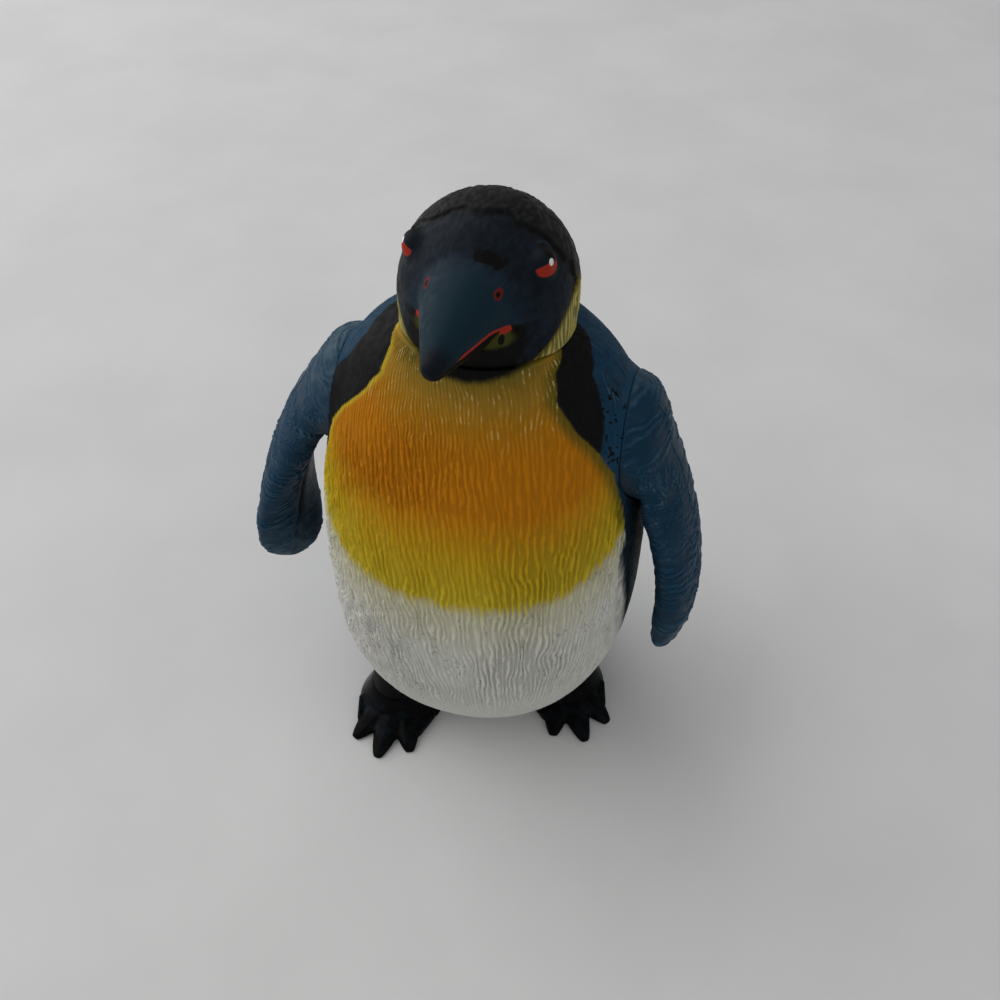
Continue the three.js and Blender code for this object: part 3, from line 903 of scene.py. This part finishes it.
# How the head's skin is evened out, and its relief
BEAK_BLEND_BACK = (8.0, 12.0)
BEAK_BLEND_FRONT = (22.0, 16.0)
BEAK_ROUNDS = 60
BROW_CENTRE = np.array([HEAD_HALF_WIDTH * 0.58, -HEAD_FRONT * 0.19, between(HEAD_LEVEL, CROWN_HEIGHT, 0.77)])
BROW_BLEND = (9.0, 7.0)
BROW_ROUNDS = 110
EYE_ROUNDS = 6
EYE_SWELL = (3.2, 1.2)
BARE_BEAK = (12.5, 15.5)
BARE_EYE = (4.2, 3.2)
HEAD_DEPTH = 0.1
CAP_STEP = 0.45


def make_head():
    eye = egg(EYE_HALF_SIZES, EYE_CENTRE)
    piece = melt("head_skin", [head_form(), beak_form(), eye, mirrored(eye)], HEAD_FACE)
    mesh = piece.data
    points = read_points(mesh)
    points = smoothed(mesh, points, EVEN_ROUNDS, smooth_step(HEAD_FOOT + 0.3, HEAD_FOOT + 0.6, points[:, 2]))
    points = sharpened(points, np.array([0.0, 0.0, HEAD_FOOT]), UPRIGHT, NECK_RADIUS, HEAD_FACE)
    front = -points[:, 1]
    beak_root = smooth_step(*BEAK_BLEND_BACK, front) * smooth_step(*BEAK_BLEND_FRONT, front)
    points = smoothed(mesh, points, BEAK_ROUNDS, beak_root)
    brows = smooth_step(*BROW_BLEND, lengths(one_side(points) - BROW_CENTRE))
    points = smoothed(mesh, points, BROW_ROUNDS, brows)
    write_points(mesh, points)
    eyeball = EYE_PROUD * smooth_step(*EYE_SWELL, from_eye(points))
    points = points + read_normals(mesh) * eyeball[:, None]
    points = smoothed(mesh, points, EYE_ROUNDS, brows)
    write_points(mesh, points)
    mark_head(mesh, points)
    bare = np.maximum(smooth_step(*BARE_BEAK, front), smooth_step(*BARE_EYE, from_eye(points)))
    on_collar = smooth_step(-0.5, 0.3, chin_border(points) - points[:, 2])
    hairs = strands(points, COLLAR_STRAND_PITCH, 1.0, seed=60)
    relief = between(head_relief(points) * (1.0 - bare), hairs, on_collar)
    relief = relief * smooth_step(HEAD_FOOT, HEAD_FOOT + 0.6, points[:, 2])
    mark(mesh, {"relief": relief})
    cap = CAP_STEP * smooth_step(-0.4, 0.4, crown_cap(points))
    cap *= smooth_step(HEAD_FOOT, HEAD_FOOT + 5.0, points[:, 2])
    write_points(mesh, points + read_normals(mesh) * (HEAD_DEPTH * relief + cap)[:, None])
    paint = painted("head_paint", head_coat, rough=(0.45, 0.6), gloss=0.07)
    place(piece, "head", "head_shell", "head_vinyl", paint)


# Flippers
BLADE_START = SEAT_CENTRE + np.array([-3.5, 0.0, 11.5])
BLADE_SHOULDER = SEAT_CENTRE + np.array([0.5, 0.0, 4.0])
ROOT_REACH = 90.0
FAR = 200.0
SHOULDER_ROUNDS = 260
CREASE_PITCH = 1.6
CREASE_SHARPNESS = 1.4
CREASE_DEPTH = 0.15
BLADE_PARTING_HEIGHT = 0.2
FOLD_DEPTH = 0.5
# Over what length the dust at a flipper's tip, and the painted sheen at the top of its root, fade out
END_SCUFF_AND_SHEEN = (18.0, 0.0)


def blade_frame(blade, steps):
    """Centre, outward and forward directions along a flipper's curve."""
    knots = [BLADE_START, BLADE_SHOULDER, np.array(blade["elbow"], float), np.array(blade["tip"], float)]
    centres = bezier(knots, steps)
    tangents = bezier([b - a for a, b in zip(knots, knots[1:])], steps)
    tangents /= lengths(tangents)[:, None]
    outward = -np.cross(np.array([0.0, 1.0, 0.0]), tangents)
    outward /= lengths(outward)[:, None]
    forward = np.broadcast_to(np.array([0.0, -1.0, 0.0]), outward.shape).copy()
    twist = blade["elbow_twist"] * np.sin(math.pi * steps) + blade["tip_twist"] * steps ** TIP_CURL
    for i, angle in enumerate(np.radians(twist)):
        turn = np.array(Matrix.Rotation(angle, 3, Vector(tangents[i])))
        outward[i] = turn @ outward[i]
        forward[i] = turn @ forward[i]
    return centres, outward, forward


def blade_form(blade, count=96, rows=160):
    """The flipper's blade, from inside the shoulder to its blunt tip."""
    steps = np.linspace(0.002, 0.998, rows)
    turn = around(count)
    centres, outward, forward = blade_frame(blade, steps)
    sections = []
    for i, step in enumerate(steps):
        squareness = BLADE_ROOT_SQUARENESS if step < 0.5 else BLADE_END_SQUARENESS
        rounding = math.sqrt(1.0 - abs(2.0 * step - 1.0) ** squareness)
        half_chord = rounding * between(*BLADE_HALF_CHORD, step)
        half_thickness = rounding * between(*BLADE_HALF_THICKNESS, step)
        sections.append(
            centres[i]
            + np.outer(half_thickness * np.cos(turn), outward[i])
            + np.outer(half_chord * np.sin(turn), forward[i])
        )
    return loft(sections)


def blade_places(blade, points):
    """How far down the blade each point lies, how much on its inner face, and how far before its middle."""
    steps = np.linspace(0.0, 1.0, 120)
    centres, outward, forward = blade_frame(blade, steps)
    run = np.concatenate([[0.0], np.cumsum(lengths(np.diff(centres, axis=0)))])
    nearest = np.zeros(len(points), int)
    best = np.full(len(points), 1e9)
    for i, centre in enumerate(centres):
        gap = (points[:, 0] - centre[0]) ** 2 + (points[:, 2] - centre[2]) ** 2
        closer = gap < best
        best[closer] = gap[closer]
        nearest[closer] = i
    offset = points - centres[nearest]
    inward = -(offset * outward[nearest]).sum(axis=1) / BLADE_HALF_THICKNESS[1]
    ahead = (offset * forward[nearest]).sum(axis=1)
    return run[nearest], inward, ahead


def flipper_shapes(blade, root_radius):
    """The blade where it clears the shoulder, and the round root that turns in the seat."""
    hanging = new_piece("blade", [blade_form(blade)])
    cut(hanging, shoulder_round((TURN_CLEAR, FAR), (FAR, FAR)), "INTERSECT")
    rooted = new_piece("root", [blade_form(blade)])
    cut(rooted, shoulder_round((VISIBLE_GAP, ROOT_REACH), (root_radius, root_radius)), "INTERSECT")
    root_top = RUNNING_GAP + ROOT_DISC_THICKNESS
    disc = shoulder_round((VISIBLE_GAP, root_top), (root_radius, root_radius))
    lean = np.linspace(0.0, 0.49 * math.pi, 30)
    dome_radius = root_radius - RUNNING_GAP
    dome = shoulder_round(root_top + DOME_HEIGHT * np.sin(lean), dome_radius * np.cos(lean))
    return [shape_of(hanging), shape_of(rooted), disc, dome]


def even_flipper(mesh, points, out, seat_distance, root_radius):
    """Evens out the skin, most at the shoulder, and keeps the root's rim sharp."""
    rim = (out < TURN_CLEAR) * (np.abs(seat_distance - root_radius) < RIM_WIDTH)
    points = smoothed(mesh, points, EVEN_ROUNDS, 1.0 - rim)
    shoulder = smooth_step(0.5, 2.5, out) * smooth_step(26.0, 18.0, seat_distance)
    shoulder *= between(0.2, 1.0, smooth_step(-8.0, 2.0, points[:, 2] - SEAT_CENTRE[2]))
    points = smoothed(mesh, points, SHOULDER_ROUNDS, shoulder)
    return sharpened(points, SEAT_CENTRE + VISIBLE_GAP * SEAT_AXIS, SEAT_AXIS, root_radius, FLIPPER_FACE)


def creases(points, along, inward, ahead):
    """Wavy creases across the blade, which come and go."""
    wander = 0.7 * noise(points / 5.0, seed=21) + 0.35 * noise(points / 1.8, seed=22) + 0.012 * ahead ** 2
    patch = np.stack([along / 1.7, ahead / 4.5, inward], axis=1)
    alive = smooth_step(-0.3, 0.4, noise(patch, seed=23))
    return ridges((along + wander) / CREASE_PITCH, CREASE_SHARPNESS, alive)


def make_flipper(side):
    blade = BLADES[side]
    root_radius = VISIBLE_SEAT_RADIUS - 2.0 * VISIBLE_GAP
    piece = melt(side + "_flipper_skin", flipper_shapes(blade, root_radius), FLIPPER_FACE)
    mesh = piece.data
    points = read_points(mesh)
    out, seat_distance = from_seat(points)
    points = even_flipper(mesh, points, out, seat_distance, root_radius)
    to_side = np.array([blade["flip"], 1.0, 1.0])
    if blade["flip"] < 0:
        points = points * to_side
        mesh.flip_normals()
    write_points(mesh, points)
    along, inward, ahead = blade_places(blade, points * to_side)
    low = smooth_step(16.0, 30.0, along)
    inner = smooth_step(0.1, 0.6, inward) * smooth_step(3.5, 0.5, ahead * low)
    # The fold is pressed in and also painted black as shade
    fold_line = ahead - 0.8 + 0.4 * noise(points / 4.0, seed=25)
    fold = low * smooth_step(0.1, 0.5, inward) * bump(fold_line, 0.9)
    folds, by_armpit = armpit_folds(points, seed=70)
    relief = between(creases(points, along, inward, ahead), folds, by_armpit)
    relief = relief * smooth_step(0.1, 0.8, out) * between(1.0, 0.3, inner)
    parting_line = ahead - 1.0 + 0.5 * noise(points / 5.0, seed=24)
    parting = bump(parting_line, 0.3) * smooth_step(0.0, -0.3, inward) * smooth_step(1.0, 3.0, out)
    # Dust on the rear edge and at the tip, and a painted sheen of light at the top of the right flipper's
    # root
    behind = 0.5 * smooth_step(1.0, -2.0, ahead)
    at_tip = smooth_step(*END_SCUFF_AND_SHEEN, along.max() - along)
    at_root = blade["root_sheen"] * smooth_step(*END_SCUFF_AND_SHEEN, along)
    scuff_and_sheen = np.maximum(np.maximum(behind, at_tip), at_root)
    mark(mesh, {"relief": relief, "inner": inner, "fold": fold, "scuff_and_sheen": scuff_and_sheen})
    height = CREASE_DEPTH * relief + BLADE_PARTING_HEIGHT * parting - FOLD_DEPTH * fold
    write_points(mesh, points + read_normals(mesh) * height[:, None])
    paint = painted("flipper_paint", flipper_coat, rough=(0.42, 0.56), gloss=0.1)
    place(piece, side + "_flipper", side + "_flipper", "flipper_vinyl", paint)


# Feet
def toe_form(length, angle, count=48, rows=60):
    """A toe with a flat sole and a blunt end, at an angle from straight ahead."""
    sections = []
    for step in np.linspace(0.0, 1.0, rows):
        rounding = math.sqrt(1.0 - (TOE_START + TOE_SPAN * step) ** BLADE_END_SQUARENESS)
        half_width = rounding * between(*TOE_HALF_WIDTH, step ** 2)
        height = rounding * between(*TOE_HEIGHT, step)
        sole_share = TOE_MIDDLE * height
        sections.append(oval(count, half_width, -length * step, sole_share, height - sole_share))
    points, faces = loft(sections)
    return turned(points, angle), faces


def turned(points, angle):
    """Turns points about the upright axis, by an angle in degrees."""
    c = math.cos(math.radians(angle))
    s = math.sin(math.radians(angle))
    return points @ np.array([[c, s, 0], [-s, c, 0], [0, 0, 1]])


def web_form():
    """The thin fan between the toes, which runs on from the side toes to the ankle."""
    side_edge = [
        (CUFF_FOOT_RADIUS, HEEL_WEB_ANGLE),
        (TOE_WEB_REACH, TOE_WEB_ANGLE),
        (SIDE_TOE_LENGTH * WEB_SHARE, TOE_ANGLE),
    ]
    edge = [(reach, -angle) for reach, angle in side_edge]
    edge.append((MIDDLE_TOE_LENGTH * WEB_SHARE, 0.0))
    edge.extend(reversed(side_edge))
    corners = [(0.0, INSTEP_HALF_LENGTH / 2)]
    for reach, angle in edge:
        corners.append((reach * math.sin(math.radians(angle)), -reach * math.cos(math.radians(angle))))
    low = np.array([(x, y, 0.0) for x, y in corners])
    high = np.array([(x, y, WEB_HEIGHT) for x, y in corners])
    return loft([low, high])


def make_foot(side):
    ankle = ANKLES[side]
    shapes = [
        web_form(),
        toe_form(MIDDLE_TOE_LENGTH, 0.0),
        toe_form(SIDE_TOE_LENGTH, TOE_ANGLE),
        toe_form(SIDE_TOE_LENGTH, -TOE_ANGLE),
        egg((INSTEP_HALF_WIDTH, INSTEP_HALF_LENGTH, INSTEP_HEIGHT), (0.0, 0.0, 0.0)),
        upright_cone(CUFF_FOOT_RADIUS, CUFF_RADIUS, 0.0, ANKLE_SEAT_LEVEL, 0.0, 0.0),
    ]
    piece = melt(side + "_foot_skin", shapes, FOOT_FACE)
    mesh = piece.data
    points = read_points(mesh)
    points = smoothed(mesh, points, FOOT_ROUNDS, np.ones(len(points)))
    points[:, 2] = np.clip(points[:, 2], 0.0, ANKLE_SEAT_LEVEL)
    points = turned(points, ankle["heading"]) + np.array([ankle["side"], ankle["back"], 0.0])
    write_points(mesh, points)
    cut(piece, torso_form(inset=-RUNNING_GAP))
    paint = painted("foot_paint", foot_coat, rough=(0.12, 0.2), gloss=0.03)
    place(piece, "torso", side + "_foot", "foot_vinyl", paint)


# Paint
def new_paint(name):
    """A fresh material, with its node tree and shader."""
    material = bpy.data.materials.new(name)
    material.use_nodes = True
    tree = material.node_tree
    return material, tree, tree.nodes["Principled BSDF"]


def feed(tree, socket, value):
    """Gives a socket a number, a colour, another node's output, or the mark of that name."""
    if isinstance(value, str):
        value = node(tree, "ShaderNodeAttribute", attribute_name=value).outputs["Fac"]
    if isinstance(value, bpy.types.NodeSocket):
        tree.links.new(value, socket)
    else:
        socket.default_value = value


def node(tree, kind, inputs=None, **settings):
    """Adds a node, with its settings, and feeds its inputs."""
    made = tree.nodes.new(kind)
    for key, value in settings.items():
        setattr(made, key, value)
    for key, value in (inputs or {}).items():
        feed(tree, made.inputs[key], value)
    return made


def calc(tree, operation, first, second):
    return node(tree, "ShaderNodeMath", {0: first, 1: second}, operation=operation).outputs[0]


def times(tree, first, second):
    return calc(tree, "MULTIPLY", first, second)


def grain(tree, size, detail=3.0, rough=0.55):
    """Noise from 0 to 1 with bumps of that size, in millimetres."""
    where = node(tree, "ShaderNodeTexCoord").outputs["Object"]
    inputs = {"Vector": where, "Scale": 1.0 / (size * MM), "Detail": detail, "Roughness": rough}
    return node(tree, "ShaderNodeTexNoise", inputs).outputs["Fac"]


def shifted(tree, value, size, reach):
    """A marked distance whose border wanders by that reach, in millimetres, as a brush does."""
    wander = times(tree, calc(tree, "SUBTRACT", grain(tree, size), 0.5), 2.0 * reach)
    return calc(tree, "ADD", value, wander)


def step_up(tree, value, low, high, start=0.0, end=1.0):
    """Rises smoothly from start to end while the value goes from low to high."""
    inputs = {"Value": value, "From Min": low, "From Max": high, "To Min": start, "To Max": end}
    return node(tree, "ShaderNodeMapRange", inputs, interpolation_type="SMOOTHSTEP").outputs["Result"]


def patches(tree, size, low, high, start=0.0, end=1.0, detail=3.0):
    """Soft-edged patches of that size, in millimetres, where the grain is above low."""
    return step_up(tree, grain(tree, size, detail), low, high, start, end)


def mixed(tree, share, first, second, blend="MIX"):
    """The first colour, with a share of the second over it."""
    made = node(tree, "ShaderNodeMix", data_type="RGBA", blend_type=blend)
    values = {"Factor_Float": share, "A_Color": first, "B_Color": second}
    for socket in made.inputs:
        if socket.identifier in values:
            feed(tree, socket, values[socket.identifier])
    return next(socket for socket in made.outputs if socket.identifier == "Result_Color")


def coated(tree, colour, value, soft, paint):
    """A colour with paint over it where the value is above zero, with an edge that soft."""
    return mixed(tree, step_up(tree, value, -soft, soft), colour, paint)


def run_of_colours(tree, value, stops):
    """Colours along a value, each given after its place."""
    low = stops[0][0]
    high = stops[-1][0]
    spread = {"Value": value, "From Min": low, "From Max": high}
    share = node(tree, "ShaderNodeMapRange", spread).outputs["Result"]
    ramp = node(tree, "ShaderNodeValToRGB", {"Fac": share})
    knots = ramp.color_ramp.elements
    while len(knots) < len(stops):
        knots.new(0.5)
    for knot, (where, colour) in zip(knots, stops):
        knot.position = (where - low) / (high - low)
        knot.color = colour
    return ramp.outputs["Color"]


def grey(tree, tone):
    channels = {"Red": tone, "Green": tone, "Blue": tone}
    return node(tree, "ShaderNodeCombineColor", channels).outputs["Color"]


def painted_relief_shading(tree, colour, low, high, dark, light):
    """Paints shade into the hollows of the relief and a highlight onto its crests: the colour goes darker in
    the hollows and lighter on the crests.
    """
    tone = step_up(tree, "relief", low, high, dark, light)
    return mixed(tree, 1.0, colour, grey(tree, tone), "MULTIPLY")


def painted(name, coat, rough, gloss):
    """A material with a thin brushed coat, whose gloss varies a little."""
    material, tree, shader = new_paint(name)
    shader.inputs["Specular IOR Level"].default_value = gloss
    tree.links.new(coat(tree), shader.inputs["Base Color"])
    tree.links.new(patches(tree, 2.0, 0.3, 0.7, *rough), shader.inputs["Roughness"])
    return material


WHITE = (0.67, 0.665, 0.615, 1)
CREAM = (0.6, 0.575, 0.4, 1)
LEMON = (0.56, 0.43, 0.022, 1)
GOLD = (0.51, 0.32, 0.008, 1)
ORANGE = (0.5, 0.178, 0.002, 1)
AMBER = (0.44, 0.19, 0.006, 1)
OCHRE = (0.37, 0.2, 0.018, 1)
OLIVE = (0.19, 0.14, 0.018, 1)
COLLAR_YELLOW = (0.46, 0.4, 0.12, 1)
RIM_GREEN = (0.1, 0.095, 0.008, 1)
INNER_BLUE = (0.015, 0.028, 0.043, 1)
# Painted highlight on the eyelid's rim
LID_HIGHLIGHT_GREY = (0.012, 0.021, 0.031, 1)
PALE_STRAW = (0.72, 0.58, 0.3, 1)
SLATE_BLUE = (0.006, 0.041, 0.084, 1)
PALE_BLUE = (0.05, 0.095, 0.13, 1)
NAVY = (0.008, 0.014, 0.018, 1)
SOFT_BLACK = (0.003, 0.003, 0.0033, 1)
CROWN_GREY = (0.008, 0.0083, 0.0083, 1)
FACE_BLUE_BLACK = (0.0105, 0.021, 0.035, 1)
BEAK_TEAL = (0.006, 0.021, 0.033, 1)
BEAK_TIP_BLACK = (0.005, 0.0075, 0.011, 1)
PAINT_RED = (0.34, 0.028, 0.014, 1)
NOSTRIL_RED = (0.15, 0.013, 0.009, 1)
PATCH_GREEN = (0.05, 0.055, 0.008, 1)
# Painted highlight of the glint on each eye
GLINT_WHITE = (0.8, 0.8, 0.78, 1)

CHEST_RUN = (
    (-14.0, WHITE),
    (-1.5, CREAM),
    (1.2, LEMON),
    (10.0, GOLD),
    (20.0, ORANGE),
    (30.0, ORANGE),
    (35.0, AMBER),
    (39.0, OCHRE),
    (44.0, OLIVE),
)


def blue_coat(tree):
    """Slate blue, with a painted highlight on the crests of the relief and painted shade in its hollows."""
    # Painted highlight: pale blue in patches on the crests of the relief
    crests = step_up(tree, "relief", 0.1, 0.9)
    crest_highlight = times(tree, crests, patches(tree, 3.0, 0.45, 0.65, 0.1, 0.7))
    colour = mixed(tree, patches(tree, 6.0, 0.4, 0.75, 0.0, 0.22), SLATE_BLUE, PALE_BLUE)
    colour = mixed(tree, crest_highlight, colour, PALE_BLUE)
    # Painted shade in the hollows of the relief
    return painted_relief_shading(tree, colour, -0.9, 0.2, dark=0.7, light=1.0)


def chest_coat(tree, above):
    """White belly and yellow breast, with a rim, pale strokes at the throat and a few dark specks."""
    chest = run_of_colours(tree, above, CHEST_RUN)
    rim = times(tree, step_up(tree, "rim", 0.4, 3.6, 0.85, 0.0), step_up(tree, above, 0.0, 3.0))
    chest = mixed(tree, rim, chest, mixed(tree, "left_side", LEMON, RIM_GREEN))
    straw = times(tree, step_up(tree, "relief", 0.15, 0.7), patches(tree, 1.6, 0.49, 0.58))
    straw = times(tree, straw, step_up(tree, "level", 90.0, 98.0, 0.0, 0.7))
    chest = mixed(tree, straw, chest, PALE_STRAW)
    throat = shifted(tree, "throat", size=2.0, reach=0.5)
    chest = mixed(tree, step_up(tree, throat, -1.2, 0.5), chest, SOFT_BLACK)
    # Painted shade in the hollows of the strands and a painted highlight on their crests
    chest = painted_relief_shading(tree, chest, -0.9, 0.6, dark=0.74, light=1.07)
    specks = times(tree, patches(tree, 0.9, 0.62, 0.68, detail=1.0), patches(tree, 9.0, 0.42, 0.6))
    specks = times(tree, specks, step_up(tree, above, 2.0, -3.0, 0.0, 0.35))
    return mixed(tree, specks, chest, NAVY)


def back_coat(tree):
    """Blue back, darker at the flanks below the flippers, partly navy paint and partly painted shade from the
    flippers, with a black band beside the breast, a painted highlight on the band's hair crests, and pits by
    it.
    """
    # Flanks darker: partly navy paint, partly painted shade from the flippers
    back = mixed(tree, "flank", blue_coat(tree), NAVY)
    # Painted highlight: grey on the crests of the hairs in the black band
    hairs = mixed(tree, step_up(tree, "relief", 0.0, 0.8, 0.0, 0.7), SOFT_BLACK, CROWN_GREY)
    back = coated(tree, back, shifted(tree, "band", size=2.5, reach=0.3), 0.4, hairs)
    pits = times(tree, patches(tree, 0.8, 0.63, 0.67, detail=0.0), "pitted")
    return mixed(tree, pits, back, SOFT_BLACK)


def torso_coat(tree):
    """Chest and back, with an edge that is soft below the yellow, and black legs."""
    front = shifted(tree, "front", size=2.5, reach=0.5)
    above = shifted(tree, "above", size=3.0, reach=1.3)
    above = calc(tree, "ADD", above, step_up(tree, "relief", -1.0, 1.0, -0.6, 0.6))
    soft_edge = step_up(tree, front, 0.6, 3.8)
    sharp_edge = step_up(tree, front, -0.35, 0.35)
    edge = mixed(tree, step_up(tree, above, -6.0, 0.0), soft_edge, sharp_edge)
    colour = mixed(tree, edge, back_coat(tree), chest_coat(tree, above))
    colour = mixed(tree, "leg", colour, SOFT_BLACK)
    return colour


def face_coat(tree):
    """Blue-black face, darker towards the brow, with painted shade just under the cap's edge, and the cap
    behind it, grey as with dust; painted shade and highlight follow the relief.
    """
    crown = shifted(tree, "crown", size=2.0, reach=0.5)
    face = mixed(tree, step_up(tree, crown, -13.0, -7.0, 0.0, 0.65), FACE_BLUE_BLACK, SOFT_BLACK)
    # Painted shade: a near-black band just under the raised edge of the cap
    face = mixed(tree, step_up(tree, crown, -2.4, -0.6, 0.0, 0.9), face, SOFT_BLACK)
    # Painted shade in the hollows of the relief and a strong painted highlight on its crests
    return painted_relief_shading(tree, coated(tree, face, crown, 0.5, CROWN_GREY), -0.8, 0.8, dark=0.6, light=1.5)


def head_coat(tree):
    """Face and cap, then beak, collar and eyes over them."""
    beak = shifted(tree, "beak", size=3.0, reach=1.2)
    colour = mixed(tree, step_up(tree, beak, -2.5, 3.5), face_coat(tree), BEAK_TEAL)
    colour = mixed(tree, step_up(tree, "beak", 13.0, 18.0), colour, BEAK_TIP_BLACK)
    colour = coated(tree, colour, "blot", 0.3, SOFT_BLACK)
    colour = coated(tree, colour, shifted(tree, "chin", size=2.0, reach=0.35), 0.4, SOFT_BLACK)
    colour = coated(tree, colour, shifted(tree, "patch", size=1.5, reach=0.5), 0.8, PATCH_GREEN)
    collar = shifted(tree, "collar", size=2.0, reach=0.35)
    yellow = mixed(tree, step_up(tree, collar, 0.2, 2.2), OLIVE, COLLAR_YELLOW)
    # Painted shade in the hollows of the collar's hairs and a slight painted highlight on their crests
    yellow = painted_relief_shading(tree, yellow, -0.8, 0.6, dark=0.4, light=1.1)
    colour = coated(tree, colour, collar, 0.3, yellow)
    # Painted highlight: a thin pale arc on the eyelid's rim above the pupil
    colour = mixed(tree, step_up(tree, "lid_highlight", -0.2, 0.1), colour, LID_HIGHLIGHT_GREY)
    colour = coated(tree, colour, "red", 0.12, PAINT_RED)
    colour = mixed(tree, step_up(tree, "nostril", -0.15, 0.2), colour, NOSTRIL_RED)
    # Black pupils and nostril holes, and painted shade in the slit at the corner of the mouth
    colour = coated(tree, colour, "dark", 0.12, SOFT_BLACK)
    # Painted highlight: the white glint on each eye
    colour = coated(tree, colour, "glint", 0.08, GLINT_WHITE)
    return colour


def flipper_coat(tree):
    """Blue outside, darker inside, with painted shade in the fold, dust on the rear edge and the tip, and a
    painted sheen of light at the top of the right flipper's root.
    """
    colour = mixed(tree, "inner", blue_coat(tree), INNER_BLUE)
    # Painted shade: black in the fold on the inner face of the lower blade
    colour = mixed(tree, "fold", colour, SOFT_BLACK)
    # Pale blue for dust, and for the painted sheen of light at the top of the right flipper's root
    dust_and_sheen = times(tree, "scuff_and_sheen", patches(tree, 2.5, 0.35, 0.65, 0.25, 0.95))
    colour = mixed(tree, dust_and_sheen, colour, PALE_BLUE)
    return colour


def foot_coat(tree):
    """Glossy black with a hint of navy."""
    colour = mixed(tree, patches(tree, 3.0, 0.4, 0.7, 0.0, 0.5), SOFT_BLACK, NAVY)
    return colour


# Stage
CAMERA_YAW = 16.0
CAMERA_PITCH = 45.0
CAMERA_OUT = 158.0
CAMERA_LEVEL = 215.0
CAMERA_LENS = 36.0
AXIS_SHIFT = 0.012
FLOOR_HALF_SIZE = 3.0
SKY_STRENGTH = 0.36
LAMP_AIM = (0, 0, 40)


def make_camera():
    """Stands before the bird's left, and looks down at it, as the photograph does."""
    yaw = math.radians(CAMERA_YAW)
    data = bpy.data.cameras.new("camera")
    data.sensor_width = CAMERA_LENS
    data.lens = CAMERA_LENS
    data.shift_x = AXIS_SHIFT
    data.clip_start = 0.01
    camera = add_object("camera", data)
    stand = np.array([CAMERA_OUT * math.sin(yaw), -CAMERA_OUT * math.cos(yaw), CAMERA_LEVEL])
    camera.location = Vector(stand * MM + neck_axis)
    camera.rotation_euler = (math.radians(90.0 - CAMERA_PITCH), 0.0, yaw)
    bpy.context.scene.camera = camera


def make_floor():
    """A large pale sheet."""
    half = FLOOR_HALF_SIZE
    mesh = bpy.data.meshes.new("floor")
    corners = [(-half, -half, 0), (half, -half, 0), (half, half, 0), (-half, half, 0)]
    mesh.from_pydata(corners, [], [(0, 1, 2, 3)])
    floor = add_object("floor", mesh)
    material, tree, shader = new_paint("floor_sheet")
    tone = patches(tree, 60.0, 0.3, 0.7, 0.63, 0.67)
    tree.links.new(grey(tree, tone), shader.inputs["Base Color"])
    shader.inputs["Roughness"].default_value = 0.75
    mesh.materials.append(material)


def make_lamp(name, place_mm, size_mm, power):
    """A square lamp that shines at the bird's belly."""
    data = bpy.data.lights.new(name, "AREA")
    data.size = size_mm * MM
    data.energy = power
    lamp = add_object(name, data)
    lamp.location = Vector(place_mm) * MM
    lamp.rotation_euler = (Vector(LAMP_AIM) * MM - lamp.location).to_track_quat("-Z", "Y").to_euler()


def make_light():
    """An even sky, a large lamp from the bird's right and a weak one from its left."""
    world = bpy.data.worlds.new("studio")
    world.use_nodes = True
    sky = world.node_tree.nodes["Background"]
    sky.inputs["Color"].default_value = (1.0, 1.0, 1.0, 1)
    sky.inputs["Strength"].default_value = SKY_STRENGTH
    bpy.context.scene.world = world
    make_lamp("key", place_mm=(-1050, 200, 950), size_mm=2000, power=18.5)
    make_lamp("fill", place_mm=(600, -400, 800), size_mm=1000, power=1.0)


make_torso()
make_head()
for flipper_side in BLADES:
    make_flipper(flipper_side)
for foot_side in ANKLES:
    make_foot(foot_side)
make_camera()
make_floor()
make_light()
bpy.context.scene.view_settings.view_transform = "Standard"
